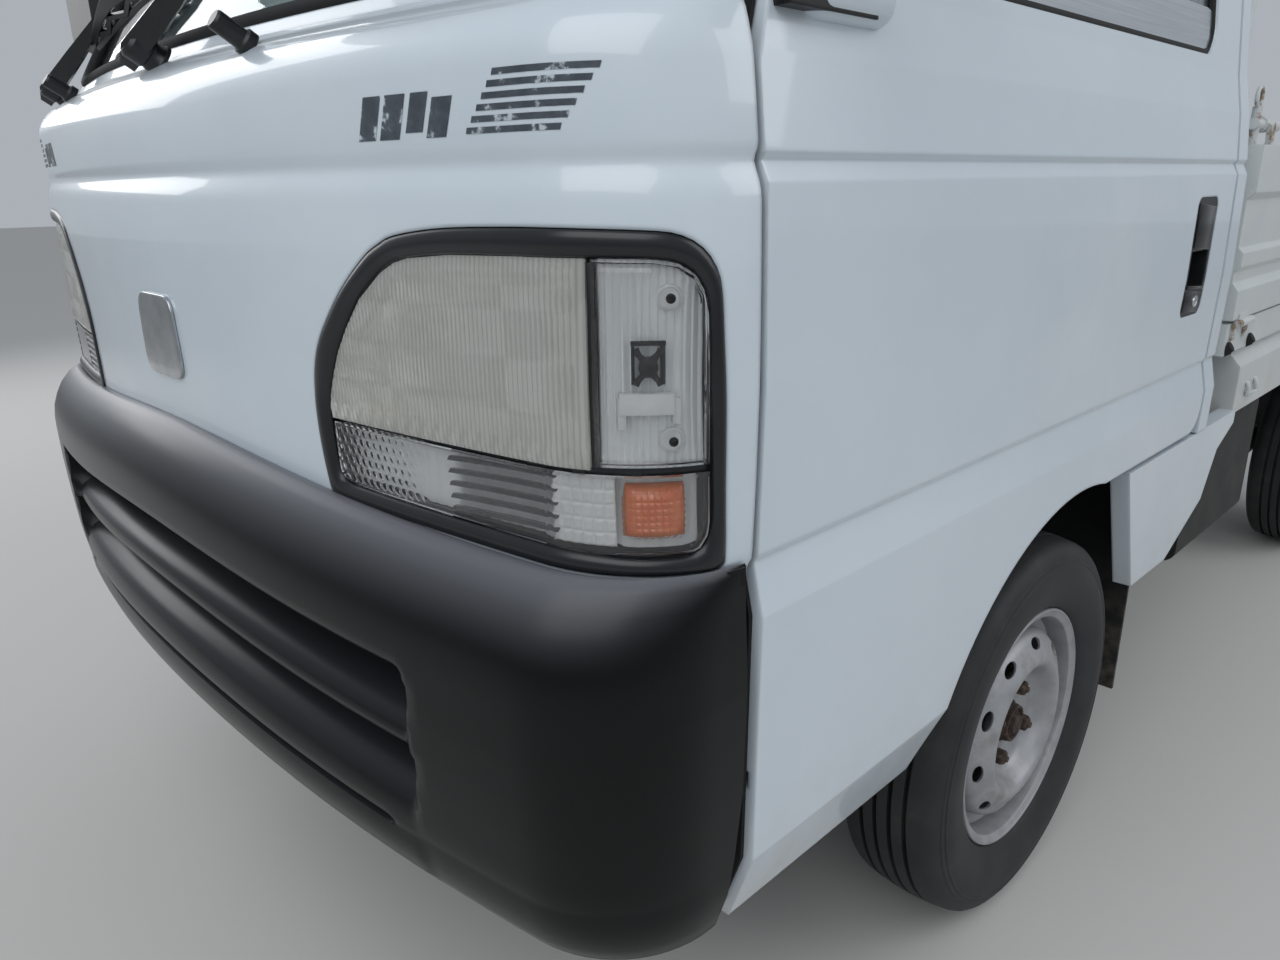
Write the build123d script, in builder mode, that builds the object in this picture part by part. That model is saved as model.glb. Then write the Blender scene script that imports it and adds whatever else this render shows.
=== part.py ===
from build123d import *
from math import asin, cos, degrees, radians, sin, sqrt
import os

# A kei-class flat-bed truck, in millimetres. +X is its left side, the front faces -Y and +Z is up.
# The origin is on the ground, under the middle of its length.

# Overall
length = 3295
front = -length / 2
body_half = 694
gap = 5
seat = 0.3

# Wheels
wheelbase = 1900
front_axle = front + 861
rear_axle_y = front_axle + wheelbase
tyre_radius = 268
half_track = 603

# Steering
kingpin_x = 490

# Cab: stations along the truck, measured from the bumper's face
nose_y = front + 53
nose_bow = 3170
nose_rear = front + 222
door_front = front + 228
door_rear = front + 1311
post_front = front + 1320
cab_back = front + 1402
cab_low = 372
belt = 1135
header = 1665
arch_radius = tyre_radius + 82
arch_height = tyre_radius - 1
door_low_rear = 608

# The half width that cutters reach, beyond the body
body_reach = body_half + 26

# Bed
deck_top = 745
deck_thick = 30
bed_front = front + 1425
bed_half = body_half - 6
gate_low = 762
gate_high = 1028
gate_thick = 26
gate_pin_x = bed_half + 3
gate_pin_z = gate_low - 6
pin_radius = 4
knuckle_radius = 6.5

# The cab's outer form: height, how far its side lies inside the widest place, nose setback,
# corner radius, back face setback, and the thickness of its wall at the side and at the nose
screen_low = belt - 17
roof_edge = header + 25
cab_form_rows = [
    (cab_low, 28, 12, 110, 0, 62, 54),
    (444, 3, 4, 126, 0, 70, 54),
    (669, 0, 0, 130, 0, 70, 54),
    (713, 10, 4, 126, 0, 66, 54),
    (719, 6, 0, 130, 0, 68, 48),
    (850, 3, -2, 130, 0, 70, 40),
    (986, 6, 0, 130, 0, 70, 40),
    (1000, 13, 6, 124, 0, 66, 40),
    (1005, 9, 3, 128, 0, 66, 40),
    (belt - 67, 16, 2, 126, 0, 56, 40),
    (belt - 43, 21, 14, 124, 0, 48, 40),
    (screen_low, 26, 62, 120, 3, 40, 40),
    (roof_edge, 88, 398, 110, 17, 36, 36),
    (header + 53, 102, 415, 112, 30, 40, 40),
    (header + 77, 128, 447, 112, 57, 40, 40),
    (header + 95, 174, 500, 112, 102, 40, 40),
    (header + 106, 254, 590, 112, 202, 40, 40),
    (header + 110, 394, 740, 112, 400, 40, 40),
]
cab_levels = [(row[0], body_half - row[1]) + row[2:] for row in cab_form_rows]
cab_rear_radius = 42
roof_thick = 42


def cab_section(z, half, setback, corner, back, inset):
    """One level of the cab in plan, all its faces moved inwards by the inset."""
    half -= inset
    corner = max(corner - inset, 20)
    rear_corner = max(cab_rear_radius - inset, 8)
    bow = nose_bow - inset
    nose = nose_y + setback + inset
    rear = cab_back - back - inset
    # the corner arc touches the bowed nose and the straight side
    corner_x = half - corner
    corner_y = nose + bow - sqrt((bow - corner) ** 2 - corner_x ** 2)
    touch_x = corner_x * bow / (bow - corner)
    touch_y = nose + bow - (nose + bow - corner_y) * bow / (bow - corner)
    lean = Vector(touch_x - corner_x, touch_y - corner_y).normalized() + Vector(1, 0)
    middle = lean.normalized() * corner
    diagonal = rear_corner * cos(radians(45))
    rear_x = half - rear_corner
    rear_y = rear - rear_corner
    with BuildSketch(Plane.XY.offset(z)) as section:
        with BuildLine():
            ThreePointArc((-touch_x, touch_y), (0, nose), (touch_x, touch_y))
            ThreePointArc((touch_x, touch_y), (corner_x + middle.X, corner_y + middle.Y),
                          (half, corner_y))
            Line((half, corner_y), (half, rear_y))
            ThreePointArc((half, rear_y), (rear_x + diagonal, rear_y + diagonal), (rear_x, rear))
            Line((rear_x, rear), (-rear_x, rear))
            ThreePointArc((-rear_x, rear), (-rear_x - diagonal, rear_y + diagonal), (-half, rear_y))
            Line((-half, rear_y), (-half, corner_y))
            ThreePointArc((-half, corner_y), (-corner_x - middle.X, corner_y + middle.Y),
                          (-touch_x, touch_y))
        make_face()
    return section.sketch


def cab_form(inset, low, high):
    """The cab's outer form between two heights, moved inwards by the inset."""
    rows = [row for row in cab_levels if low <= row[0] <= high]
    with BuildPart() as form:
        loft([cab_section(*row[:5], inset) for row in rows], ruled=True)
    return form.part


def cab_hollow(clear):
    """The room inside the cab's walls, open below, kept clear of them by a margin."""
    rows = [row for row in cab_levels if row[0] <= roof_edge]
    sections = []
    for z, half, setback, corner, back, side, nose in rows:
        # the wall is thicker at the side than at the nose
        sections.append(cab_section(z - 20, half - side, setback + nose, corner - 40, back + nose, clear))
    z, half, setback, corner, back, side, nose = rows[-1]
    sections.append(cab_section(cab_levels[-1][0] - roof_thick, half - side - 30, setback + nose + 40,
                                corner - 40, back + nose + 20, clear))
    with BuildPart() as room:
        loft(sections, ruled=True)
    return room.part


def side_prism(profile, start, end):
    """A side-view profile of (y, z) points, drawn out from x = start to x = end."""
    with BuildPart() as prism:
        with BuildSketch(Plane.YZ.offset(start)):
            with BuildLine():
                Polyline(*profile, close=True)
            make_face()
        extrude(amount=end - start)
    return prism.part


def front_prism(profile, start, end):
    """A front-view profile of (x, z) points, drawn out from y = start to y = end."""
    with BuildPart() as prism:
        with BuildSketch(Plane.XZ.offset(-start)):
            with BuildLine():
                Polyline(*profile, close=True)
            make_face()
        extrude(amount=start - end)
    return prism.part


def block(low, high):
    """A box between two corners."""
    with BuildPart() as box:
        with BuildSketch(Plane.XY.offset(low[2])):
            with Locations(((low[0] + high[0]) / 2, (low[1] + high[1]) / 2)):
                Rectangle(high[0] - low[0], high[1] - low[1])
        extrude(amount=high[2] - low[2])
    return box.part


def save(part, name):
    part.label = name
    export_step(part, f"parts/{name}.step")


os.makedirs("parts", exist_ok=True)

# The cab's shell, which the panels are parted from
cab_top = cab_levels[-1][0]
with BuildPart() as cab_shell:
    add(cab_form(0, cab_low, cab_top))
    add(cab_hollow(0), mode=Mode.SUBTRACT)

# The door's outline and its window, seen from the side; the line before the door is the A-pillar's edge
door_top = header - gap
door_line = [(door_front, 1060), (front + 252, 1118), (front + 572, door_top)]
door_outline = [(door_front, cab_low - 2)] + door_line + [
    (door_rear, door_top), (door_rear, door_low_rear), (front_axle, door_low_rear),
    (front_axle, cab_low - 2)]
window_low = belt
window_high = door_top - 32
window_outline = [(front + 318, window_low), (front + 609, window_high),
                  (front + 1206, window_high), (front + 1206, window_low)]
glass_inset = 10
glass_thick = 5


def rounded(plane, outline, radii, depth, shrink=0):
    """A prism on a plane, whose corners are rounded: one radius for each point of its outline."""
    with BuildPart() as prism:
        with BuildSketch(plane):
            with BuildLine():
                FilletPolyline(*outline, radius=radii, close=True)
            make_face()
            if shrink:
                offset(amount=-shrink, mode=Mode.REPLACE)
        extrude(amount=depth)
    return prism.part


def glass_layer(inset, thick, low, high):
    """A thin layer of the cab's form: its outer face lies an inset inside the panels."""
    with BuildPart() as layer:
        add(cab_form(inset, low, high))
        add(cab_form(inset + thick, low, high), mode=Mode.SUBTRACT)
    return layer.part


window_radii = [30, 34, 40, 40]
door_inner_x = body_half - 214
with BuildPart() as arch:
    with BuildSketch(Plane.YZ.offset(door_inner_x)):
        with Locations((front_axle, arch_height)):
            Circle(arch_radius)
    extrude(amount=body_reach - door_inner_x)
door_plane = Plane.YZ.offset(door_inner_x)
door_depth = body_reach - door_inner_x
with BuildPart() as door_left:
    add(cab_shell.part)
    add(rounded(door_plane, door_outline, [1, 30, 30, 22, 26, 40, 1, 1], door_depth),
        mode=Mode.INTERSECT)
    add(arch.part, mode=Mode.SUBTRACT)
    add(rounded(door_plane, window_outline, window_radii, door_depth), mode=Mode.SUBTRACT)

# The door's glass fills its window a little inside the skin
window_levels = (screen_low, roof_edge)
with BuildPart() as door_glass_left:
    add(glass_layer(glass_inset, glass_thick, *window_levels))
    add(rounded(door_plane, window_outline, window_radii, door_depth, seat), mode=Mode.INTERSECT)

# The windscreen's opening, seen from the front
screen_outline = [(120 - body_half, belt), (174 - body_half, header), (body_half - 174, header),
                  (body_half - 120, belt)]
screen_plane = Plane.XZ.offset(-(front - 20))
screen_opening = rounded(screen_plane, screen_outline, [40, 60, 60, 40], -700)
with BuildPart() as windscreen:
    add(glass_layer(glass_inset, glass_thick, *window_levels))
    add(rounded(screen_plane, screen_outline, [40, 60, 60, 40], -700, seat), mode=Mode.INTERSECT)

# The A-pillars stand between the windscreen and the doors, the rear posts behind the doors
pillar_zone = [(front - 20, belt), (front - 20, header), (front + 572 - gap - 2, header),
               (front + 252 - gap + 6, belt)]
post_x = body_half - 104
post_low = 600
with BuildPart() as cab_pillars:
    add(cab_shell.part)
    add(side_prism(pillar_zone, -body_reach, body_reach), mode=Mode.INTERSECT)
    add(screen_opening, mode=Mode.SUBTRACT)
with BuildPart() as rear_posts:
    add(cab_shell.part)
    add(block((-body_reach, post_front, post_low), (body_reach, cab_back + 1, header)),
        mode=Mode.INTERSECT)
    add(block((-post_x, post_front - 1, 0), (post_x, cab_back + 2, header + 1)), mode=Mode.SUBTRACT)
with BuildPart() as cab_posts:
    add(cab_pillars.part)
    add(rear_posts.part)

# The roof with its header above the windscreen
with BuildPart() as cab_roof:
    add(cab_shell.part)
    add(block((-body_reach, front, header), (body_reach, cab_back + 1, cab_top + 1)),
        mode=Mode.INTERSECT)

# The rear wall with its window
rear_window_plane = Plane.XZ.offset(-(cab_back - 100))
rear_window_outline = [(-430, belt + 55), (-430, header - 125), (430, header - 125), (430, belt + 55)]
with BuildPart() as cab_rear_wall:
    add(cab_shell.part)
    add(block((-post_x, post_front, post_low), (post_x, cab_back + 1, header)),
        mode=Mode.INTERSECT)
    add(rounded(rear_window_plane, rear_window_outline, [60] * 4, -200), mode=Mode.SUBTRACT)
with BuildPart() as rear_window:
    add(glass_layer(glass_inset, glass_thick, *window_levels))
    add(rounded(rear_window_plane, rear_window_outline, [60] * 4, -200, seat), mode=Mode.INTERSECT)
with BuildPart() as cab_glass:
    add(windscreen.part)
    add(rear_window.part)

# Lamp unit, seen from the front: the aperture in the nose, and the lens outline inside the bezel
lamp_rear = front + 192
lamp_aperture = [(330, 724), (320, 810), (372, 915), (440, 958), (body_reach, 959), (body_reach, 720)]
lamp_lens = [(346, 742), (338, 808), (384, 898), (452, 938), (body_reach, 940), (body_reach, 736)]
lamp_radii = [12, 60, 90, 60, 1, 1]
lens_radii = [8, 50, 76, 46, 1, 1]
nose_plane = Plane.XZ.offset(-(front - 20))
lamp_split_z = 792
lamp_split_x = 621
lamp_levels = (719, 986)
lens_rear = lamp_rear - 18


def lamp_prism(outline, radii, rear, shrink=0):
    """The lamp outline drawn backwards from the nose to where the lamp ends on the side."""
    return rounded(nose_plane, outline, radii, -(rear - front + 20), shrink)


# The nose panel: its lower half stands back behind the bumper
nose_step = 706
lower_inset = 30
with BuildPart() as lower_skin:
    add(block((-body_reach, front, cab_low - 1), (body_reach, nose_rear + 1, nose_step)))
    add(cab_form(lower_inset, cab_low, 719), mode=Mode.SUBTRACT)
aperture_left = lamp_prism(lamp_aperture, lamp_radii, lamp_rear)
aperture_right = mirror(aperture_left, about=Plane.YZ)
with BuildPart() as front_panel:
    add(cab_shell.part)
    add(block((-body_reach, front, cab_low), (body_reach, nose_rear, belt)), mode=Mode.INTERSECT)
    add(lower_skin.part, mode=Mode.SUBTRACT)
    add(aperture_left, mode=Mode.SUBTRACT)
    add(aperture_right, mode=Mode.SUBTRACT)

# Bezel: a black frame in the aperture; its lenses lie inside it
bezel_depth = 34
lens_depth = 22
with BuildPart() as bezel_left:
    add(cab_form(0, *lamp_levels))
    add(cab_form(bezel_depth, *lamp_levels), mode=Mode.SUBTRACT)
    add(lamp_prism(lamp_aperture, lamp_radii, lamp_rear - seat, seat), mode=Mode.INTERSECT)
    add(lamp_prism(lamp_lens, lens_radii, lens_rear), mode=Mode.SUBTRACT)
with BuildPart() as lens_left:
    add(cab_form(3, *lamp_levels))
    add(cab_form(3 + lens_depth, *lamp_levels), mode=Mode.SUBTRACT)
    add(lamp_prism(lamp_lens, lens_radii, lens_rear - seat, seat), mode=Mode.INTERSECT)
far = body_reach + 10
lens_parts = {
    "headlamps": block((0, front, lamp_split_z), (lamp_split_x - 2, nose_rear, 960)),
    "corner_lamps": block((lamp_split_x + 2, front, lamp_split_z), (far, nose_rear, 960)),
    "turn_lamps": block((0, front, 700), (far, nose_rear, lamp_split_z - 3)),
}

# Bumper: height, how far its side lies inside the widest place, nose setback, corner radius
bumper_rows = [
    (392, 24, -14, 104),
    (400, 16, -26, 109),
    (414, 11, -34, 112),
    (440, 6, -42, 115),
    (520, 3, -50, 116),
    (640, 1, -53, 118),
    (672, 2, -52, 118),
    (690, 3, -49, 119),
    (706, 4, -43, 121),
    (726, 5, -32, 124),
    (740, 6, -20, 127),
    (748, 6, -8, 128),
]
bumper_levels = [(row[0], body_half - row[1]) + row[2:] for row in bumper_rows]
bumper_wall = 12
crest = 672
lip_low = 719
bumper_rear = [(front + 191, 390), (front + 207, 476), (nose_rear - 9, 540), (nose_rear - 9, 760)]
bumper_top = [(-body_reach, 300), (-body_reach, 719), (-334, 729), (0, 744), (334, 729),
              (body_reach, 719), (body_reach, 300)]
with BuildPart() as bumper_shell:
    loft([cab_section(z, half, setback, corner, 0, 0) for z, half, setback, corner in bumper_levels],
         ruled=True)
with BuildPart() as bumper_room:
    low_rows = [(z - 10 if z < 500 else z, half - bumper_wall, setback + bumper_wall, corner - bumper_wall)
                for z, half, setback, corner in bumper_levels if z <= crest]
    top_rows = [(703, body_half - 7.5, -14, 124), (lip_low, body_half - 6 + seat, -seat, 130),
                (760, body_half - 4.5, -1.3, 130)]
    loft([cab_section(z, half, setback, corner, 0, 0) for z, half, setback, corner in low_rows + top_rows],
         ruled=True)

# Its air intake: two slots over a ledge with a slat between them, thin-walled and all bowed as the nose is.
# Each section is how far ahead of the nose, then the height, and turns about the bow's upright axis.
bow_axis = Axis((0, nose_y + nose_bow, 0), (0, 0, 1))
intake_half = 478
intake_high = 640
intake_low = 508
intake_back = -26
slat_face = 43
intake_block = [(intake_back, 494), (intake_back, 650), (slat_face, 650), (slat_face, 494)]
upper_slot = [(slat_face + 1, intake_high), (30, 638), (intake_back - 14, 634), (intake_back - 14, 599), (10, 592),
              (34, 583), (slat_face + 1, 572)]
lower_slot = [(slat_face + 1, 557), (38, 552), (intake_back - 14, 550), (intake_back - 14, 527), (10, 519),
              (34, 511), (slat_face + 1, intake_low)]
slat_hollow = [(intake_back - 14, 593), (7, 586), (30, 577), (38, 568), (36, 558), (intake_back - 14, 556)]
ledge_hollow = [(intake_back - 14, 521), (8, 513), (24, 507), (24, 480), (intake_back - 14, 480)]
groove = [(60, 467), (37, 466), (37, 461), (60, 460)]
groove_half = 438


def bowed(section, half):
    """A (proud, height) section carried across the nose's bow to half a width on each side."""
    sweep = degrees(2 * asin(half / nose_bow))
    with BuildPart() as swept:
        with BuildSketch(Plane(origin=(0, nose_y, 0), x_dir=(0, -1, 0), z_dir=(-1, 0, 0))):
            with BuildLine():
                Polyline(*section, close=True)
            make_face()
        revolve(axis=bow_axis, revolution_arc=sweep)
    return swept.part.rotate(bow_axis, -sweep / 2)


with BuildPart() as bumper:
    add(bumper_shell.part)
    add(bumper_room.part, mode=Mode.SUBTRACT)
    add(front_prism(bumper_top, front - 20, nose_rear), mode=Mode.INTERSECT)
    add(side_prism([(front - 20, 390)] + bumper_rear + [(front - 20, 760)], -body_reach, body_reach),
        mode=Mode.INTERSECT)
    add(rounded(Plane.XZ.offset(-(front - 20)),
                [(-intake_half, intake_low), (-intake_half, intake_high), (intake_half, intake_high),
                 (intake_half, intake_low)], [14] * 4, -120), mode=Mode.SUBTRACT)
    add(bowed(intake_block, intake_half + 8))
    for section in (upper_slot, lower_slot, slat_hollow, ledge_hollow):
        add(bowed(section, intake_half), mode=Mode.SUBTRACT)
    add(bowed(groove, groove_half), mode=Mode.SUBTRACT)

# Cab floor: toe board, footwell, wheel boxes and the seat deck, one folded sheet
floor_z = 430
sheet = 22
seat_deck = 690
floor_half = body_half - 96
box_front = front + 505
web_x = 340
web_thick = 12
flap_wall = front + 1208
floor_low = floor_z - sheet
floor_line = [(front + 140, 704), (front + 150, 500), (front + 215, floor_z), (box_front, floor_z),
              (box_front + 26, seat_deck), (cab_back, seat_deck)]


def lower_face(points, thick):
    """The same bent line moved a thickness to its right-hand side, with mitred corners."""
    turned_by = [Vector(b[1] - a[1], a[0] - b[0]).normalized() for a, b in zip(points, points[1:])]
    normals = [turned_by[0]] + turned_by + [turned_by[-1]]
    moved = []
    for point, before, after in zip(points, normals, normals[1:]):
        mitre = (before + after) / (1 + before.dot(after)) * thick
        moved.append((point[0] + mitre.X, point[1] + mitre.Y))
    return moved


def folded(points, thick, start, end):
    """A folded sheet: its upper face follows the side-view line, drawn out from x = start to x = end."""
    return side_prism(points + lower_face(points, thick)[::-1], start, end)


with BuildPart() as cab_floor:
    add(folded(floor_line, sheet, -floor_half, floor_half))
    for side in (-1, 1):
        inner = side * web_x
        outer = side * (web_x + web_thick)
        add(block((min(inner, outer), box_front + 10, floor_low),
                  (max(inner, outer), flap_wall + 8, seat_deck - sheet)))
        inner = side * web_x
        outer = side * (body_half - 30)
        add(block((min(inner, outer), flap_wall, floor_low + 10),
                  (max(inner, outer), flap_wall + 8, post_low - 4)))
        outer = side * floor_half
        add(block((min(inner, outer), flap_wall, floor_low + 10),
                  (max(inner, outer), flap_wall + 8, seat_deck - sheet)))
    add(cab_hollow(seat), mode=Mode.INTERSECT)

# Dashboard across the cab, notched for the steering column
driver_x = -320
wheel_centre = Vector(driver_x, front + 470, 1030)
column_lean = 52
column_axis = Vector(0, cos(radians(column_lean)), sin(radians(column_lean)))
column_radius = 30
shaft_radius = 12
shaft_tip = 9
column_plane = Plane(origin=wheel_centre, x_dir=(1, 0, 0), z_dir=column_axis)
dash_profile = [(front + 90, 1092), (front + 300, 1078), (front + 385, 1030), (front + 402, 950),
                (front + 330, 850), (front + 160, 815), (front + 90, 815)]
with BuildPart() as column:
    with BuildSketch(column_plane.offset(-34)):
        Circle(column_radius)
    extrude(amount=-190)
    with BuildSketch(column_plane.offset(-220)):
        Circle(shaft_radius)
    extrude(amount=-370)
    with BuildSketch(column_plane.offset(-40)):
        Circle(shaft_tip)
    extrude(amount=26)
with BuildPart() as column_room:
    with BuildSketch(column_plane):
        Circle(column_radius + seat)
    extrude(amount=-400)
with BuildPart() as dashboard:
    add(side_prism(dash_profile, 106 - body_half, body_half - 106))
    add(cab_hollow(seat), mode=Mode.INTERSECT)
    add(column_room.part, mode=Mode.SUBTRACT)
with BuildPart() as steering_column:
    add(column.part)
    add(cab_hollow(seat), mode=Mode.INTERSECT)
    add(folded([(y, z + seat) for y, z in floor_line], sheet + 400, driver_x - 90, driver_x + 90),
        mode=Mode.SUBTRACT)

# Steering wheel: rim, three spokes and hub
wheel_rim_radius = 180
wheel_rim_tube = 13
with BuildPart() as steering_wheel:
    with BuildSketch(Plane(origin=wheel_centre, x_dir=column_axis, z_dir=(-1, 0, 0))):
        with Locations((0, wheel_rim_radius)):
            Circle(wheel_rim_tube)
    revolve(axis=Axis(wheel_centre, column_axis))
    with BuildSketch(column_plane.offset(-30)):
        Circle(42)
    extrude(amount=40)
    for spoke in (Vector(1, 0, 0), Vector(-1, 0, 0), column_plane.y_dir * -1):
        with BuildSketch(Plane(origin=wheel_centre - column_axis * 16, x_dir=spoke, z_dir=column_axis)):
            with Locations((wheel_rim_radius / 2, 0)):
                Rectangle(wheel_rim_radius, 26)
        extrude(amount=16)
    with BuildSketch(column_plane.offset(-31)):
        Circle(shaft_tip + seat)
    extrude(amount=18, mode=Mode.SUBTRACT)

# Two seats on the deck: cushion, back and head rest of each are one plain pad
cushion_profile = [(front + 600, seat_deck + seat), (front + 590, 800), (front + 625, 832),
                   (front + 1085, 812), (front + 1130, 830), (front + 1190, 1330), (front + 1232, 1560),
                   (front + 1290, 1560), (front + 1292, 1330), (front + 1300, 1250),
                   (front + 1300, seat_deck + seat)]
seat_half = 250
with BuildPart() as seats:
    for side in (-1, 1):
        add(side_prism(cushion_profile, side * 320 - seat_half, side * 320 + seat_half))
        # the head rest is narrower than the back
        for edge in (-1, 1):
            inner = side * 320 + edge * 130
            outer = side * 320 + edge * (seat_half + 1)
            add(block((min(inner, outer), front + 1100, 1345), (max(inner, outer), front + 1350, 1600)),
                mode=Mode.SUBTRACT)

# Doors' fittings: the handle in its recess, and the mirror on its arm
handle_low = 797
handle_high = 957
handle_front = front + 1143
handle_width = 88
handle_lean = 12
handle_rim = 8
pull_low = 836
pull_high = 886
handle_outline = [(handle_front, handle_low), (handle_front + handle_lean, handle_high),
                  (handle_front + handle_lean + handle_width, handle_high),
                  (handle_front + handle_width, handle_low)]
handle_plane = Plane.YZ.offset(body_half - 54)
with BuildPart() as handle_recess:
    add(rounded(handle_plane, handle_outline, [14] * 4, 60))
    add(cab_form(26, 719, belt - 67), mode=Mode.SUBTRACT)
with BuildPart() as door_handle_left:
    add(glass_layer(1, 25 - seat, 719, belt - 67))
    add(rounded(handle_plane, handle_outline, [14] * 4, 60, seat), mode=Mode.INTERSECT)
    # the hand reaches into a hollow under the pull
    with BuildPart(mode=Mode.SUBTRACT):
        add(rounded(handle_plane, handle_outline, [14] * 4, 60, handle_rim))
        add(block((0, handle_front, pull_low), (body_reach, door_rear, pull_high)), mode=Mode.INTERSECT)
        add(cab_form(22, 719, belt - 67), mode=Mode.SUBTRACT)
stay_radius = 8
mirror_x = body_half + 96
mirror_y = front + 300
mirror_z = belt + 185
mirror_base = (body_half - 30, mirror_y, belt - 12)
stay_knee = (body_half + 26, mirror_y, belt + 50)
mirror_back = (mirror_x - 20, mirror_y + 6, mirror_z - 40)


def rod(points, radius):
    """A bent round rod through the points, with a ball at each bend."""
    with BuildPart() as bent:
        for start, end in zip(points, points[1:]):
            along = Vector(end) - Vector(start)
            with BuildSketch(Plane(origin=start, z_dir=along)):
                Circle(radius)
            extrude(amount=along.length)
        for point in points[1:-1]:
            with Locations(point):
                Sphere(radius)
    return bent.part


with BuildPart() as mirror_left:
    add(rod([mirror_base, stay_knee, mirror_back], stay_radius))
    with BuildSketch(Plane(origin=(mirror_x, mirror_y, mirror_z), x_dir=(1, 0, 0), z_dir=(0, -1, 0))):
        RectangleRounded(140, 220, 34)
    extrude(amount=26)
    with BuildSketch(Plane(origin=(mirror_x, mirror_y - 26, mirror_z), x_dir=(1, 0, 0), z_dir=(0, -1, 0))):
        RectangleRounded(140, 220, 34)
    extrude(amount=22, taper=24)
    # the foot on the shelf below the window
    add(block((body_half - 40, mirror_y - 52, belt - 40), (body_half - 8, mirror_y + 52, belt - 6)))
    add(cab_form(-seat, 1005, header + 53), mode=Mode.SUBTRACT)

# Door hinges: a pin on a goose-neck bracket behind the nose panel, in a notch of the door
door_pin_x = body_half - 10
door_pin_y = door_front + 50
door_pin_radius = 3.5
door_pin_half = 28
bracket_half = 7
bracket_in = body_half - 82
bracket_out = body_half - 50
bracket_wall = 10
notch_clear = 1
door_hinge_levels = (520, 850)
bracket_line = [
    (bracket_in, nose_rear + seat), (bracket_out, nose_rear + seat), (bracket_out, nose_rear + bracket_wall),
    (bracket_in + bracket_wall, nose_rear + bracket_wall),
    (bracket_in + bracket_wall, door_pin_y - door_pin_radius), (door_pin_x, door_pin_y - door_pin_radius),
    (door_pin_x, door_pin_y + door_pin_radius), (bracket_in, door_pin_y + door_pin_radius),
]
with BuildPart() as door_hinge_left:
    for z in door_hinge_levels:
        with BuildSketch(Plane.XY.offset(z - bracket_half)):
            with BuildLine():
                Polyline(*bracket_line, close=True)
            make_face()
        extrude(amount=2 * bracket_half)
        with BuildSketch(Plane.XY.offset(z - door_pin_half)):
            with Locations((door_pin_x, door_pin_y)):
                Circle(door_pin_radius)
        extrude(amount=2 * door_pin_half)
with BuildPart() as hinge_room:
    for z in door_hinge_levels:
        add(block((door_inner_x, door_front - 1, z - bracket_half - notch_clear),
                  (door_pin_x, door_pin_y + door_pin_radius + notch_clear, z + bracket_half + notch_clear)))
        # room for the arm when the door stands open
        add(block((door_pin_x - 1, door_pin_y - 4 * door_pin_radius, z - bracket_half - notch_clear),
                  (door_pin_x + door_pin_radius + notch_clear, door_pin_y + door_pin_radius + notch_clear,
                   z + bracket_half + notch_clear)))
        with BuildSketch(Plane.XY.offset(z - door_pin_half - notch_clear)):
            with Locations((door_pin_x, door_pin_y)):
                Circle(door_pin_radius + seat)
        extrude(amount=2 * (door_pin_half + notch_clear))
with BuildPart() as door_hinges:
    add(door_hinge_left.part)
    add(mirror(door_hinge_left.part, about=Plane.YZ))
with BuildPart() as door_left_full:
    add(door_left.part)
    add(handle_recess.part, mode=Mode.SUBTRACT)
    add(hinge_room.part, mode=Mode.SUBTRACT)

# Wipers: pivot, arm and blade, both parked towards the left side
def bar(start, end, width, height):
    """A straight bar between two points."""
    along = Vector(end) - Vector(start)
    with BuildPart() as rod:
        with BuildSketch(Plane(origin=start, x_dir=(0, 0, 1), z_dir=along)):
            Rectangle(height, width)
        extrude(amount=along.length)
    return rod.part


wiper_places = [(-20, 0), (-540, 24)]
with BuildPart() as wipers:
    for x, back in wiper_places:
        y = front + 96 + back
        with BuildSketch(Plane.XY.offset(1084)):
            with Locations((x, y)):
                Circle(12)
        extrude(amount=44)
        add(bar((x, y, 1122), (x + 240, y + 26 - 1.2 * back, 1142), 16, 12))
        add(bar((x - 10, y + 14, 1144), (x + 440, y + 46 - 2.2 * back, 1144), 12, 14))
    add(cab_form(-seat, 1005, roof_edge), mode=Mode.SUBTRACT)

# Corner panels behind the front wheels, below the doors
panel_out = body_half - 3
panel_in = body_half - 29
corner_profile = [(front + 1036, post_low - 2), (front + 1119, 404), (front + 1265, 402),
                  (front + 1416, 467), (front + 1463, 544), (front + 1540, 576),
                  (front + 1540, post_low - 2)]
with BuildPart() as corner_panels:
    for start in (-panel_out, panel_in):
        add(side_prism(corner_profile, start, start + panel_out - panel_in))

# Mud flaps behind the front and rear wheels
flap_thick = 6
flap_low = 185
flap_width = 142
with BuildPart() as mud_flaps:
    for start in (30 - body_half, body_half - 30 - flap_width):
        add(block((start, flap_wall - seat - flap_thick, flap_low), (start + flap_width, flap_wall - seat, 560)))
        add(block((start, rear_axle_y + 330, flap_low),
                  (start + flap_width, rear_axle_y + 330 + flap_thick, 576 - seat)))

# Chassis: two rails that rise behind the cab, joined by cross members
rail_x = 300
rail_width = 50
rail_front_top = floor_low - seat
rail_height = 78
rail_rear_top = 654
rear_pin_y = -front - knuckle_radius
bed_rear = rear_pin_y - 8
beam_face = bed_rear - 22
beam_depth = 60
rail_end = beam_face - beam_depth - seat
rail_line = [(front + 146, rail_front_top), (flap_wall + 17, rail_front_top),
             (flap_wall + 282, rail_rear_top), (rail_end, rail_rear_top)]
exhaust_y = -front - 300
cross_stations = [front + 175, front_axle - 110, front + 1110, front + 1520, front + 2080, exhaust_y + 5]
with BuildPart() as chassis_frame:
    for start in (-rail_x - rail_width, rail_x):
        add(folded(rail_line, rail_height, start, start + rail_width))
    for y in cross_stations:
        top = rail_front_top if y < front + 1200 else rail_rear_top
        add(block((-rail_x, y - 25, top - 60), (rail_x, y + 25, top - 6)))

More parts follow.
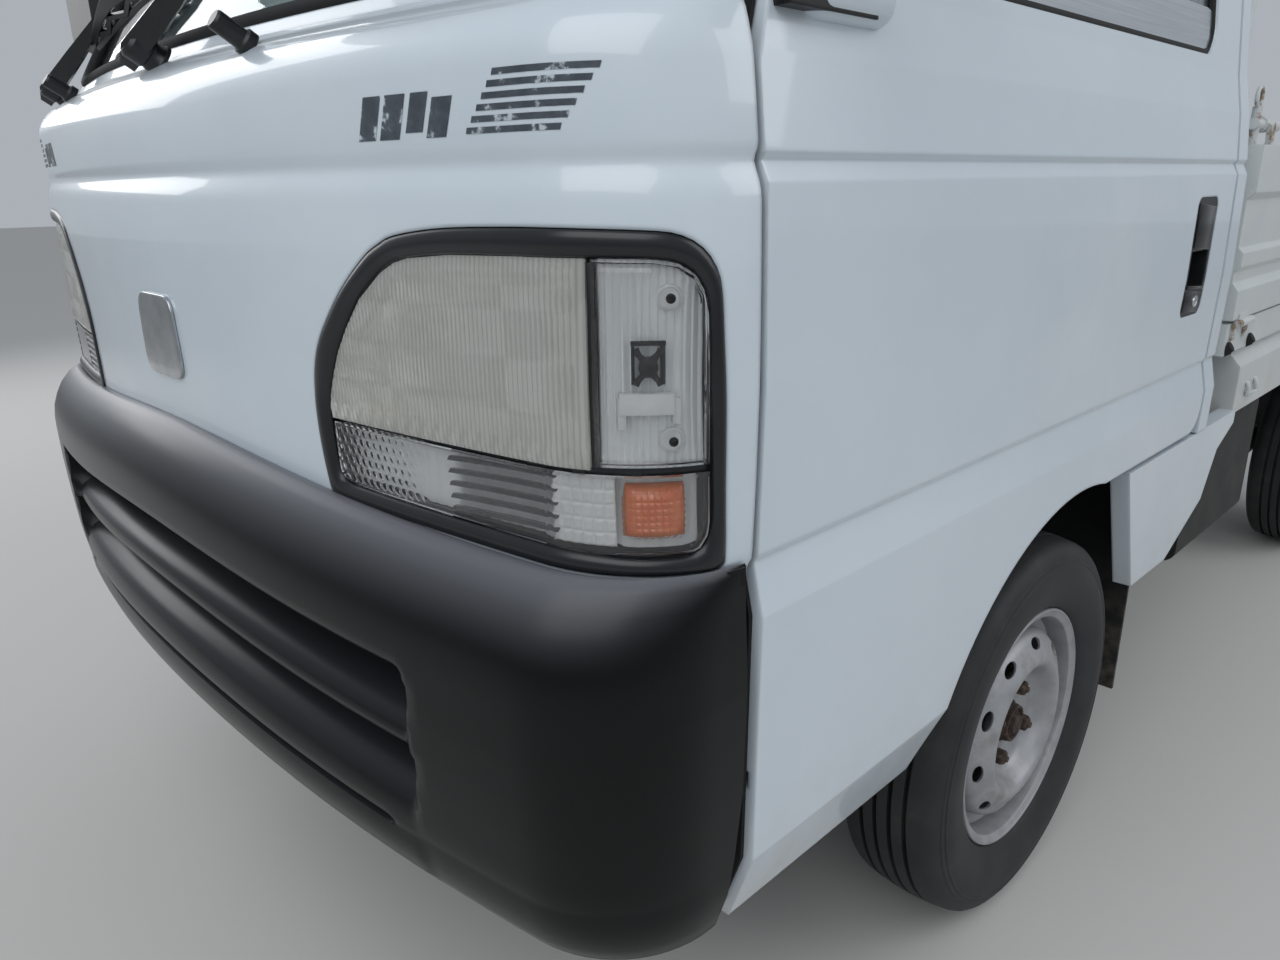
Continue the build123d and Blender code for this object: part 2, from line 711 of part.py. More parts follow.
# Bed: ribbed deck with its side rails, on cross sills
deck_half = bed_half - 5
rail_depth = 40
sill_half = deck_half - rail_depth - 4
sill_top = deck_top - deck_thick
sill_stations = [front + 1470, front + 1850, front + 2230, front + 2610, front + 2990, beam_face - 30]
side_rail_low = 705
head_thick = 24
head_step = 20
rail_top = gate_low - gap
with BuildPart() as bed_deck:
    add(block((-deck_half, bed_front, sill_top), (deck_half, bed_rear, deck_top)))
    for side in (-1, 1):
        outer = side * deck_half
        inner = side * (deck_half - rail_depth)
        add(block((min(outer, inner), bed_front, side_rail_low), (max(outer, inner), bed_rear, rail_top)))
    add(block((-deck_half, bed_rear - rail_depth, side_rail_low), (deck_half, bed_rear, rail_top)))
    for y in sill_stations:
        add(block((-sill_half, y - 25, rail_rear_top + seat), (sill_half, y + 25, sill_top)))
    # the headboard stands in a step at the floor's front edge
    add(block((-deck_half + rail_depth, bed_front - 1, deck_top - head_step),
              (deck_half - rail_depth, bed_front + head_thick + seat, deck_top + 1)), mode=Mode.SUBTRACT)
    # the floor's pressed channels run lengthways
    with BuildSketch(Plane.XY.offset(deck_top)):
        with Locations((0, (bed_front + bed_rear) / 2)):
            with GridLocations(90, 1, 13, 1):
                Rectangle(40, bed_rear - bed_front - 2 * rail_depth - 60)
    extrude(amount=-6, mode=Mode.SUBTRACT)

# The bed's lower side rails, with a sloping top
lower_rail = [(sill_half + seat, 695), (sill_half + 25, 697), (bed_half - 2, 672), (bed_half - 2, 590),
              (bed_half - 16, 576), (sill_half + seat, 576)]
with BuildPart() as bed_side_rails:
    for side in (-1, 1):
        add(front_prism([(side * x, z) for x, z in lower_rail], front + 1540 + seat, -front - 40))

# Headboard with its guard frame
head_half = deck_half - rail_depth - seat
guard_x = head_half - 14
guard_top = 1570
guard_radius = 14
with BuildPart() as bed_headboard:
    add(block((-head_half, bed_front, deck_top - head_step + seat), (head_half, bed_front + head_thick, 1000)))
    for side in (-1, 1):
        with BuildSketch(Plane.XY.offset(990)):
            with Locations((side * guard_x, bed_front + guard_radius)):
                Circle(guard_radius)
        extrude(amount=guard_top - 990)
    for z in (1100, 1330, guard_top - guard_radius):
        with BuildSketch(Plane.YZ.offset(-guard_x - (guard_radius if z > 1500 else 0))):
            with Locations((bed_front + guard_radius, z)):
                Circle(guard_radius if z > 1500 else 9)
        extrude(amount=2 * guard_x + (2 * guard_radius if z > 1500 else 0))

# Gates: pressed panels hinged at their lower edges
gate_inner = bed_half - gate_thick
gate_front = bed_front + 4
gate_back = rear_pin_y - 3
hinge_stations = [gate_front + 60, (gate_front + gate_back) / 2, gate_back - 110]
barrel_length = 56
tail_half = gate_inner - 6


def gate_panel(face):
    """A drop gate in side view: (depth, z) profile with flanges, a recess and a middle rib."""
    inner = face - gate_thick
    return [(inner, gate_low), (face, gate_low), (face, 809), (face - 10, 822), (face - 10, 838),
            (face - 2, 846), (face - 2, 868), (face - 10, 876), (face - 10, 948), (face, 958),
            (face, gate_high), (inner, gate_high)]


gate_profile = gate_panel(bed_half)
with BuildPart() as side_gate_left:
    add(front_prism(gate_profile, gate_front, gate_back))
    for y in hinge_stations:
        with BuildSketch(Plane.XZ.offset(-(y - barrel_length / 2))):
            with Locations((gate_pin_x, gate_pin_z)):
                Circle(knuckle_radius)
            with Locations((gate_pin_x - 4, gate_low + 2)):
                Rectangle(5, 12)
            with Locations((gate_pin_x, gate_pin_z)):
                Circle(pin_radius + seat, mode=Mode.SUBTRACT)
        extrude(amount=-barrel_length)
tail_profile = gate_panel(gate_back)
tail_hinges = [-500, 0, 500]
with BuildPart() as tail_gate:
    add(side_prism(tail_profile, -tail_half, tail_half))
    for x in tail_hinges:
        with BuildSketch(Plane.YZ.offset(x - barrel_length / 2)):
            with Locations((rear_pin_y, gate_pin_z)):
                Circle(knuckle_radius)
            with Locations((rear_pin_y - 4, gate_low + 2)):
                Rectangle(5, 12)
            with Locations((rear_pin_y, gate_pin_z)):
                Circle(pin_radius + seat, mode=Mode.SUBTRACT)
        extrude(amount=barrel_length)

# Hinge pins in their lugs on the bed's rails
lug_thick = 12
with BuildPart() as gate_hinges:
    for side in (-1, 1):
        for y in hinge_stations:
            with BuildSketch(Plane.XZ.offset(-(y - barrel_length / 2 - lug_thick - seat))):
                with Locations((side * gate_pin_x, gate_pin_z)):
                    Circle(pin_radius)
            extrude(amount=-(barrel_length + 2 * lug_thick + 2 * seat))
            for start in (y - barrel_length / 2 - lug_thick - seat, y + barrel_length / 2 + seat):
                with BuildSketch(Plane.XZ.offset(-start)):
                    with Locations((side * gate_pin_x, gate_pin_z)):
                        Circle(knuckle_radius)
                    with Locations((side * (deck_half + seat + 2.4), gate_pin_z - 14)):
                        Rectangle(4.8, 28)
                extrude(amount=-lug_thick)
    for x in tail_hinges:
        with BuildSketch(Plane.YZ.offset(x - barrel_length / 2 - lug_thick - seat)):
            with Locations((rear_pin_y, gate_pin_z)):
                Circle(pin_radius)
        extrude(amount=barrel_length + 2 * lug_thick + 2 * seat)
        for start in (x - barrel_length / 2 - lug_thick - seat, x + barrel_length / 2 + seat):
            with BuildSketch(Plane.YZ.offset(start)):
                with Locations((rear_pin_y, gate_pin_z)):
                    Circle(knuckle_radius)
                with Locations((bed_rear + seat + 2.4, gate_pin_z - 14)):
                    Rectangle(4.8, 28)
            extrude(amount=lug_thick)

# Rear beam with the tail lamps on its face
lamp_face = bed_rear + 3
beam_low = 560
eye_x = 200
eye_z = 518
eye_radius = 14
eye_thick = 16
with BuildPart() as rear_beam:
    add(block((-sill_half, beam_face - beam_depth, beam_low), (sill_half, beam_face, rail_rear_top)))
    # towing eye
    with BuildSketch(Plane.YZ.offset(eye_x)):
        with Locations((beam_face - beam_depth / 2, eye_z)):
            Circle(26)
        with Locations((beam_face - beam_depth / 2, (eye_z + beam_low + 2) / 2)):
            Rectangle(52, beam_low + 2 - eye_z)
        with Locations((beam_face - beam_depth / 2, eye_z)):
            Circle(eye_radius, mode=Mode.SUBTRACT)
    extrude(amount=eye_thick)
with BuildPart() as tail_lamps:
    for start in (-625, 625 - 230):
        add(block((start, beam_face + seat, 572), (start + 230, lamp_face, 664)))

# Engine block under the bed, and the transaxle behind it
with BuildPart() as engine:
    add(block((-230, rear_axle_y - 560, 235), (230, rear_axle_y - 150, 560)))
    add(block((-110, rear_axle_y - 150, 205), (110, rear_axle_y - 40, 420)))
    for y in (rear_axle_y - 500, rear_axle_y - 210):
        add(block((-rail_x - 30, y - 20, 545), (rail_x + 30, y + 20, rail_rear_top - rail_height - seat)))

# Fuel tank on the left rail
tank_front = front + 1530
with BuildPart() as fuel_tank:
    add(block((rail_x + rail_width + seat, tank_front, 300), (640, tank_front + 420, 560)))
    fillet(fuel_tank.edges().filter_by(Axis.Y), 24)
    for y in (tank_front + 60, tank_front + 300):
        add(block((rail_x + rail_width + seat, y, 520), (rail_x + rail_width + 40, y + 50, 640)))

# Exhaust: silencer across the tail with its pipe
with BuildPart() as exhaust:
    with BuildSketch(Plane.YZ.offset(-250)):
        with Locations((exhaust_y, 420)):
            Ellipse(110, 75)
    extrude(amount=500)
    add(block((-20, exhaust_y, 480), (20, exhaust_y + 30, rail_rear_top - 60 - seat)))

# Front struts with their springs, and the lower arms
axle_z = tyre_radius
strut_radius = 22
strut_low = 416
arm_top = 190
with BuildPart() as front_suspension:
    for side in (-1, 1):
        with BuildSketch(Plane.XY.offset(strut_low)):
            with Locations((side * kingpin_x, front_axle)):
                Circle(strut_radius - 6)
        extrude(amount=seat_deck - sheet - seat - strut_low)
        with BuildSketch(Plane.XY.offset(552)):
            with Locations((side * kingpin_x, front_axle)):
                Circle(46)
        extrude(amount=seat_deck - sheet - seat - 552)
    # lower arms on their brackets
    for side in (-1, 1):
        with BuildSketch(Plane.XY.offset(arm_top - 16)):
            with BuildLine():
                Polyline((side * 310, front_axle - 190), (side * 330, front_axle - 200),
                         (side * (kingpin_x + 18), front_axle - 16), (side * (kingpin_x + 18), front_axle + 16),
                         (side * 330, front_axle + 60), (side * 310, front_axle + 60), close=True)
            make_face()
        extrude(amount=16)
        for y in (front_axle - 180, front_axle + 40):
            inner = side * 305
            outer = side * 335
            add(block((min(inner, outer), y - 15, arm_top), (max(inner, outer), y + 15,
                      rail_front_top - rail_height - seat)))

# Knuckle: strut tube, carrier, backing plate and the spindle that the wheel turns on
plate_x = half_track - 70
spindle_radius = 16
spindle_end = half_track - 12
with BuildPart() as knuckle_left:
    with BuildSketch(Plane.XY.offset(arm_top + seat)):
        with Locations((kingpin_x, front_axle)):
            Circle(20)
    extrude(amount=60)
    with BuildSketch(Plane.XY.offset(300)):
        with Locations((kingpin_x, front_axle)):
            Circle(strut_radius)
    extrude(amount=strut_low - seat - 300)
    add(block((kingpin_x - 24, front_axle - 30, 215), (kingpin_x + 24, front_axle + 30, 330)))
    with BuildSketch(Plane.YZ.offset(kingpin_x)):
        with Locations((front_axle, axle_z)):
            Circle(34)
    extrude(amount=plate_x - kingpin_x)
    with BuildSketch(Plane.YZ.offset(plate_x)):
        with Locations((front_axle, axle_z)):
            Circle(104)
    extrude(amount=6)
    with BuildSketch(Plane.YZ.offset(plate_x)):
        with Locations((front_axle, axle_z)):
            Circle(spindle_radius)
    extrude(amount=spindle_end - plate_x)
    # steering arm
    add(block((kingpin_x - 14, front_axle + 20, 232), (kingpin_x + 6, front_axle + 120, 248)))

# Rear axle: tube, backing plates and spindles
with BuildPart() as rear_axle:
    with BuildSketch(Plane.YZ.offset(-spindle_end)):
        with Locations((rear_axle_y, axle_z)):
            Circle(spindle_radius)
    extrude(amount=2 * spindle_end)
    with BuildSketch(Plane.YZ.offset(-plate_x)):
        with Locations((rear_axle_y, axle_z)):
            Circle(34)
    extrude(amount=2 * plate_x)
    for start in (-plate_x - 6, plate_x):
        with BuildSketch(Plane.YZ.offset(start)):
            with Locations((rear_axle_y, axle_z)):
                Circle(104)
        extrude(amount=6)

# Leaf springs on hangers outside the rails
spring_x = 440
spring_half = 30
spring_reach = 430
spring_line = [(rear_axle_y - spring_reach, 378), (rear_axle_y - 220, 250), (rear_axle_y - 60, axle_z - 34 - seat),
               (rear_axle_y + 60, axle_z - 34 - seat), (rear_axle_y + 220, 250), (rear_axle_y + spring_reach, 378)]
with BuildPart() as leaf_springs:
    for side in (-1, 1):
        start = side * spring_x - spring_half
        add(folded(spring_line, 22, start, start + 2 * spring_half))
        for y in (rear_axle_y - spring_reach, rear_axle_y + spring_reach - 20):
            add(block((start, y, 370), (start + 2 * spring_half, y + 20, 640)))
            inner = side * (rail_x + rail_width + seat)
            outer = side * (spring_x + spring_half)
            add(block((min(inner, outer), y, 600), (max(inner, outer), y + 20, 640)))

# Propeller shaft to the front differential
with BuildPart() as prop_shaft:
    with BuildSketch(Plane.XZ.offset(-(front_axle + 80))):
        with Locations((60, 300)):
            Circle(26)
    extrude(amount=-(rear_axle_y - 560 - seat - front_axle - 80))
    with BuildSketch(Plane.YZ.offset(-60)):
        with Locations((front_axle, 290)):
            Circle(95)
    extrude(amount=180)
    add(block((0, front_axle - 110 + 25 + seat, 350), (50, front_axle - 40, 390)))
    for start, end in ((-420, -60), (120, 420)):
        with BuildSketch(Plane.YZ.offset(start)):
            with Locations((front_axle, axle_z)):
                Circle(14)
        extrude(amount=end - start)


# Wheels
def wheel_plane(centre, side):
    """The plane a wheel's section is drawn on: first the way outboard, then the radius."""
    return Plane(origin=centre, x_dir=(side, 0, 0), z_dir=(0, -side, 0))


flange = 168
bead = flange - 8
well = flange - 28
disc = flange - 34
tyre_half = 72.5
disc_face = 32
ridge = 62
# each section: how far outboard of the wheel's middle plane, then the radius
rim_section = [(-57, flange), (-51, flange), (-50, bead), (-30, bead - 2), (-24, well), (14, well),
               (20, bead - 2), (50, bead), (51, flange), (57, flange), (57, flange - 4), (54, flange - 14),
               (24, flange - 16), (18, disc), (34, disc - 1), (44, disc - 5), (51, disc - 13), (57, 110),
               (61, 103), (ridge, 98), (60, 91), (50, 83.5), (38, 77), (disc_face + 1, 71), (disc_face, 64),
               (disc_face, 29), (disc_face - 4, 29), (disc_face - 4, 65), (disc_face - 3, 73), (36, 81),
               (47, 87), (55, 92.5), (57.6, 98), (53.5, 108), (47, 119), (40, 125), (32, disc - 5),
               (6, disc - 4), (6, disc), (-27, disc), (-33, flange - 16), (-54, flange - 14),
               (-57, flange - 4)]
tyre_section = [(-50, bead + seat), (50, bead + seat), (50, flange + 4), (64, flange + 14),
                (tyre_half, (flange + tyre_radius) / 2 - 4), (68, tyre_radius - 20), (56, tyre_radius - 5),
                (0, tyre_radius), (-56, tyre_radius - 5), (-68, tyre_radius - 20),
                (-tyre_half, (flange + tyre_radius) / 2 - 4), (-64, flange + 14), (-50, flange + 4)]
hub_face = disc_face - 4 - seat
drum_section = [(-62, 16.6), (-62, 96), (8, 96), (14, 72), (hub_face, 62), (hub_face, 28.6), (40, 27),
                (40, 0), (-10, 0), (-10, 16.6)]


def turned(section, centre, side):
    """A ring turned about the wheel's axis from (outboard, radius) points."""
    with BuildPart() as ring:
        with BuildSketch(wheel_plane(centre, side)):
            with BuildLine():
                Polyline(*section, close=True)
            make_face()
        revolve(axis=Axis(centre, (1, 0, 0)))
    return ring.part


hand_hole_circle = 119.5
hand_holes = 10


def wheel_rim(centre, side):
    """A pressed steel wheel with a ring of oval hand holes."""
    with BuildPart() as rim:
        add(turned(rim_section, centre, side))
        with BuildSketch(Plane(origin=centre, x_dir=(0, 1, 0), z_dir=(side, 0, 0))):
            with PolarLocations(hand_hole_circle, hand_holes, start_angle=9):
                Ellipse(8, 14)
        extrude(amount=ridge + 10, mode=Mode.SUBTRACT)
    return rim.part


corners = {
    "front_left": (1, front_axle), "front_right": (-1, front_axle),
    "rear_left": (1, rear_axle_y), "rear_right": (-1, rear_axle_y),
}
for corner, (side, y) in corners.items():
    centre = (side * half_track, y, axle_z)
    save(wheel_rim(centre, side), f"rim_{corner}")
    save(turned(tyre_section, centre, side), f"tyre_{corner}")
    save(turned(drum_section, centre, side), f"hub_{corner}")

# Left and right pieces
pairs = {
    "door": door_left_full.part, "door_glass": door_glass_left.part, "mirror": mirror_left.part,
    "door_handle": door_handle_left.part, "knuckle": knuckle_left.part, "side_gate": side_gate_left.part,
}
for name, piece in pairs.items():
    save(piece, f"{name}_left")
    with BuildPart() as other:
        add(mirror(piece, about=Plane.YZ))
    save(other.part, f"{name}_right")

# Lamps on both sides
with BuildPart() as lamp_bezels:
    add(bezel_left.part)
    add(mirror(bezel_left.part, about=Plane.YZ))
save(lamp_bezels.part, "lamp_bezels")
for name, zone in lens_parts.items():
    with BuildPart() as half_lamp:
        add(lens_left.part)
        add(zone, mode=Mode.INTERSECT)
    with BuildPart() as lamp:
        add(half_lamp.part)
        add(mirror(half_lamp.part, about=Plane.YZ))
    save(lamp.part, name)

single = {
    "front_panel": front_panel, "cab_pillars": cab_posts, "cab_roof": cab_roof,
    "cab_rear_wall": cab_rear_wall, "corner_panels": corner_panels, "cab_glass": cab_glass,
    "door_hinges": door_hinges, "front_bumper": bumper, "wipers": wipers, "cab_floor": cab_floor,
    "dashboard": dashboard, "steering_column": steering_column, "steering_wheel": steering_wheel,
    "seats": seats, "mud_flaps": mud_flaps, "chassis_frame": chassis_frame, "bed_deck": bed_deck,
    "bed_side_rails": bed_side_rails, "bed_headboard": bed_headboard, "tail_gate": tail_gate,
    "gate_hinges": gate_hinges, "rear_beam": rear_beam, "tail_lamps": tail_lamps, "engine": engine,
    "fuel_tank": fuel_tank, "exhaust": exhaust, "front_suspension": front_suspension,
    "rear_axle": rear_axle, "leaf_springs": leaf_springs, "prop_shaft": prop_shaft,
}
for name, piece in single.items():
    save(piece.part, name)
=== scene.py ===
import math
import bpy
from mathutils import Matrix, Vector


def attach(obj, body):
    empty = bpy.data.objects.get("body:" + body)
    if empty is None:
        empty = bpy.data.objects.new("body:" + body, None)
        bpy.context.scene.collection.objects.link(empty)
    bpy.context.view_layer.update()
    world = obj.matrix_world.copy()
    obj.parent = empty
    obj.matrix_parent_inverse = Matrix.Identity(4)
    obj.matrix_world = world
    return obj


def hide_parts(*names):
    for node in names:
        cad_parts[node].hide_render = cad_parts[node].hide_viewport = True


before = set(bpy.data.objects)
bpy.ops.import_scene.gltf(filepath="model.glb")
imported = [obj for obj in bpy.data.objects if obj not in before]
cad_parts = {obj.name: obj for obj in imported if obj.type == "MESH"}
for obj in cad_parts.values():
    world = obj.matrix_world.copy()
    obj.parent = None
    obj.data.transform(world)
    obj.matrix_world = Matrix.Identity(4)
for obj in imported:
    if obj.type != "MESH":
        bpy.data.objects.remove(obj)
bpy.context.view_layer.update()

# The studio: a pale floor under soft overhead light, seen from where the photographer stood,
# about a metre ahead and to the left of the nose. The light wraps round as under a bright overcast sky.
scene = bpy.context.scene
scene.view_settings.view_transform = "Standard"
bpy.ops.object.select_all(action="DESELECT")
bpy.ops.object.camera_add()
camera = bpy.context.object
camera.matrix_world = (
    Matrix.Translation((1.088, -1.9315, 0.987))
    @ Matrix.Rotation(math.radians(45.75), 4, "Z")
    @ Matrix.Rotation(math.radians(90 - 17.82), 4, "X")
    @ Matrix.Rotation(math.radians(-0.8), 4, "Z")
)
camera.data.lens = 26.1
camera.data.sensor_width = 36
camera.data.clip_start = 0.02
scene.camera = camera


def linear(hex_colour):
    """An sRGB hex colour as the linear values that a shader takes."""
    values = [int(hex_colour[i:i + 2], 16) / 255 for i in (1, 3, 5)]
    return [v / 12.92 if v <= 0.04045 else ((v + 0.055) / 1.055) ** 2.4 for v in values] + [1.0]


def add_node(material, kind, links=(), **settings):
    """Adds a shader node with its settings and input values, and links outputs to its inputs."""
    node = material.node_tree.nodes.new(kind)
    for name, value in settings.items():
        if hasattr(node, name) and name not in node.inputs:
            setattr(node, name, value)
        else:
            node.inputs[name.replace("_", " ")].default_value = value
    for output, name in links:
        material.node_tree.links.new(output, node.inputs[name])
    return node


def new_material(name):
    """An empty node material with its shader and output joined."""
    material = bpy.data.materials.new(name)
    material.use_nodes = True
    shader = material.node_tree.nodes["Principled BSDF"]
    return material, shader


floor_grey, shader = new_material("pale_studio_floor")
shader.inputs["Base Color"].default_value = linear("#c9c8c5")
shader.inputs["Roughness"].default_value = 0.8
bpy.ops.mesh.primitive_plane_add(size=60)
floor = bpy.context.object
floor.name = "floor"
floor.data.materials.append(floor_grey)

world = bpy.data.worlds.new("overcast")
scene.world = world
world.use_nodes = True
world.node_tree.nodes["Background"].inputs["Color"].default_value = linear("#dfe6ee")
world.node_tree.nodes["Background"].inputs["Strength"].default_value = 0.55
for place, size, power in (((1.5, -3.5, 3.6), 3.5, 70), ((4.0, 1.5, 3.5), 3.5, 60), ((-4.6, -1.9, 2.9), 3.0, 62)):
    bpy.ops.object.light_add(type="AREA", location=place)
    lamp = bpy.context.object
    lamp.data.size = size
    lamp.data.energy = power
    lamp.rotation_euler = (Vector((0, 0, 0.8)) - Vector(place)).to_track_quat("-Z", "Y").to_euler()

# Cab panels: pressed steel, spot-welded and sprayed with white enamel that has gone slightly chalky.
# Edges are folded round a few millimetres, and road dust has settled toward the sills.
mm = 0.001


def finish(names, material):
    """Gives the CAD nodes of these names a material in place of their packed one."""
    for name in names:
        for slot in bpy.data.objects[name].material_slots:
            slot.material = material


def stops(ramp, *colours):
    """Sets a colour ramp's stops from (place, hex colour) pairs."""
    band = ramp.color_ramp
    while len(band.elements) < len(colours):
        band.elements.new(1.0)
    for element, (place, colour) in zip(band.elements, colours):
        element.position = place
        element.color = linear(colour)


def grain(material, shader, size, depth, detail=2.0, edge=0.0):
    """Roughens a surface with bumps of a size and depth in mm, on edges rounded by a radius in mm."""
    spot = add_node(material, "ShaderNodeTexCoord").outputs["Object"]
    noise = add_node(material, "ShaderNodeTexNoise", [(spot, "Vector")], Scale=1000 / size, Detail=detail)
    links = [(noise.outputs["Fac"], "Height")]
    if edge:
        rounded = add_node(material, "ShaderNodeBevel", samples=6, Radius=edge * mm)
        links.append((rounded.outputs["Normal"], "Normal"))
    bump = add_node(material, "ShaderNodeBump", links, Strength=0.5, Distance=depth * mm)
    material.node_tree.links.new(bump.outputs["Normal"], shader.inputs["Normal"])


def patches(material, size, *colours, detail=5.0, stretch=(1, 1, 1)):
    """A colour output that drifts between colours in patches of a size in mm."""
    spot = add_node(material, "ShaderNodeTexCoord").outputs["Object"]
    laid = add_node(material, "ShaderNodeMapping", [(spot, "Vector")], Scale=stretch)
    noise = add_node(material, "ShaderNodeTexNoise", [(laid.outputs["Vector"], "Vector")], Scale=1000 / size,
                     Detail=detail, Roughness=0.6)
    ramp = add_node(material, "ShaderNodeValToRGB", [(noise.outputs["Fac"], "Fac")])
    stops(ramp, *colours)
    return ramp.outputs["Color"]


def settled(material, colour, soil, top, foot, size):
    """A colour output with soil laid over it, from nothing at the top height to most at the foot, in m."""
    spot = add_node(material, "ShaderNodeTexCoord").outputs["Object"]
    apart = add_node(material, "ShaderNodeSeparateXYZ", [(spot, "Vector")])
    low = add_node(material, "ShaderNodeMapRange", [(apart.outputs["Z"], "Value")], From_Min=top, From_Max=foot)
    noise = add_node(material, "ShaderNodeTexNoise", [(spot, "Vector")], Scale=1000 / size, Detail=6.0)
    spread = add_node(material, "ShaderNodeMapRange", [(noise.outputs["Fac"], "Value")], From_Min=0.38,
                      From_Max=0.72)
    share = add_node(material, "ShaderNodeMath", [(low.outputs["Result"], 0), (spread.outputs["Result"], 1)],
                     operation="MULTIPLY")
    mix = add_node(material, "ShaderNodeMixRGB", [(share.outputs["Value"], "Fac"), (colour, "Color1")],
                   Color2=linear(soil))
    return mix.outputs["Color"]


def gloss(name, roughness, coat=0.0, coat_roughness=0.05, **values):
    """A new material with its shader's roughness, clear coat and other uniform values."""
    material, shader = new_material(name)
    shader.inputs["Roughness"].default_value = roughness
    shader.inputs["Coat Weight"].default_value = coat
    shader.inputs["Coat Roughness"].default_value = coat_roughness
    for key, value in values.items():
        shader.inputs[key.replace("_", " ")].default_value = value
    return material, shader


def tint(material, shader, colour):
    """Links a colour output to the shader."""
    material.node_tree.links.new(colour, shader.inputs["Base Color"])


# white alkyd enamel, sprayed and baked: an even blue-white with a wet shine, fine orange peel in it
cab_white, shader = gloss("white_baked_enamel", 0.3, coat=0.7, coat_roughness=0.04)
tone = patches(cab_white, 420, (0.35, "#ced8e0"), (0.55, "#c8d3dc"), (0.75, "#d3dbe1"))
tint(cab_white, shader, settled(cab_white, tone, "#b3b0a6", 0.5, 0.2, 46))
grain(cab_white, shader, 2.5, 0.05, edge=5)
finish(["front_panel", "cab_pillars", "cab_roof", "cab_rear_wall", "corner_panels", "door_left", "door_right"],
       cab_white)

# the floor pan and wheel boxes: the same enamel under black sealer and road dirt, dull and dark; the nose also takes
# this black as painted shade where it stands back behind the bumper
underseal_and_shade_black, shader = gloss("bitumen_underseal", 0.85)
tint(underseal_and_shade_black, shader, patches(underseal_and_shade_black, 90, (0.35, "#1c1c1c"), (0.6, "#2a2927"), (0.8, "#3b3833")))
grain(underseal_and_shade_black, shader, 3, 0.6, edge=3)
finish(["cab_floor"], underseal_and_shade_black)


# Tyres: black rubber moulded in one, with rib blocks on the tread and thin rings on the sidewall.
# The bead is held behind the steel rim's rolled edge.
front = -1647.5
axle_front = front + 861
axle_rear = axle_front + 1900
axle_height = 268
half_track = 603
tread_pitches = 66
groove_share = 0.24
groove_depth = 6
shoulder_from, shoulder_to = 36, 67
shoulder_radius = 246


def pick(piece):
    """Makes a piece the only selected one."""
    bpy.ops.object.select_all(action="DESELECT")
    piece.select_set(True)
    bpy.context.view_layer.objects.active = piece


def edit(piece, choose="ALL", domain="VERT"):
    """Opens a piece in edit mode with everything, or what the choose function says, selected."""
    pick(piece)
    bpy.ops.object.mode_set(mode="EDIT")
    bpy.ops.mesh.select_mode(type=domain)
    bpy.ops.mesh.select_all(action="SELECT" if choose == "ALL" else "DESELECT")
    if choose != "ALL":
        bpy.ops.object.mode_set(mode="OBJECT")
        for item in piece.data.polygons if domain == "FACE" else piece.data.vertices:
            item.select = choose(item)
        bpy.ops.object.mode_set(mode="EDIT")


def done(piece, angle=35):
    """Leaves edit mode and shades the piece smooth up to an angle between its faces."""
    bpy.ops.object.mode_set(mode="OBJECT")
    pick(piece)
    bpy.ops.object.shade_smooth_by_angle(angle=math.radians(angle))
    return piece


def modify(piece, kind, **settings):
    """Adds a modifier and applies it."""
    pick(piece)
    modifier = piece.modifiers.new(kind, kind)
    for name, value in settings.items():
        setattr(modifier, name, value)
    bpy.ops.object.modifier_apply(modifier=modifier.name)


def close_seams(piece):
    """Joins the points that lie on each other and turns the faces outwards."""
    edit(piece)
    bpy.ops.mesh.remove_doubles(threshold=0.00002)
    bpy.ops.mesh.normals_make_consistent(inside=False)
    bpy.ops.object.mode_set(mode="OBJECT")


def turned_ring(name, section, steps):
    """A closed section of (outboard, radius) points, in mm, spun about the X axis."""
    bpy.ops.object.select_all(action="DESELECT")
    bpy.ops.mesh.primitive_circle_add(vertices=len(section))
    ring = bpy.context.object
    ring.name = ring.data.name = name
    for vertex, (out, radius) in zip(ring.data.vertices, section):
        vertex.co = (out * mm, 0, radius * mm)
    edit(ring)
    bpy.ops.mesh.spin(steps=steps, angle=math.tau, center=(0, 0, 0), axis=(1, 0, 0))
    bpy.ops.object.mode_set(mode="OBJECT")
    close_seams(ring)
    return ring


def copy_to(piece, name, place, mirrored=False):
    """A copy with its own mesh, moved to a place in mm, or mirrored to the right side first."""
    pick(piece)
    bpy.ops.object.duplicate()
    other = bpy.context.object
    other.name = other.data.name = name
    flip = Matrix.Scale(-1, 4, (1, 0, 0)) if mirrored else Matrix()
    other.data.transform(Matrix.Translation(Vector(place) * mm) @ flip)
    if mirrored:
        other.data.flip_normals()
    return other


corners = {
    "front_left": (1, axle_front), "front_right": (-1, axle_front),
    "rear_left": (1, axle_rear), "rear_right": (-1, axle_rear),
}
tyre_side = [
    (50, 160.5), (51.5, 169), (57, 172), (61, 178), (65, 187), (68.5, 198), (71, 209), (72.3, 220), (71.8, 229),
    (70.6, 235), (71.2, 236), (71, 238), (69.6, 239), (69, 242), (69.2, 243.5), (68.6, 245), (67.2, 246),
    (65.5, 250.5), (62, 256), (57, 260.5), (50, 263), (40, 264.8), (33, 265.9), (32, 258.5), (28, 258.5),
    (27, 266.4), (13, 267.4), (12, 259), (8, 259), (7, 267.8),
]
tyre_section = tyre_side + [(-out, radius) for out, radius in reversed(tyre_side)]
tyre = turned_ring("tyre", tyre_section, 2 * tread_pitches)
column_angle = math.pi / tread_pitches
for vertex in tyre.data.vertices:
    turn = math.atan2(vertex.co.y, vertex.co.z) / column_angle
    if round(turn) % 2 == 1:
        turned = Matrix.Rotation(-column_angle * (1 - 2 * groove_share), 4, "X")
        vertex.co = turned @ vertex.co


def in_groove(face):
    """The shoulder's faces between two blocks of the tread."""
    turn = math.atan2(face.center.y, face.center.z) / column_angle
    return shoulder_from * mm < abs(face.center.x) < shoulder_to * mm and face.normal.yz.length > 0.2 \
        and math.hypot(face.center.y, face.center.z) > shoulder_radius * mm \
        and (turn % 2) < 2 * groove_share


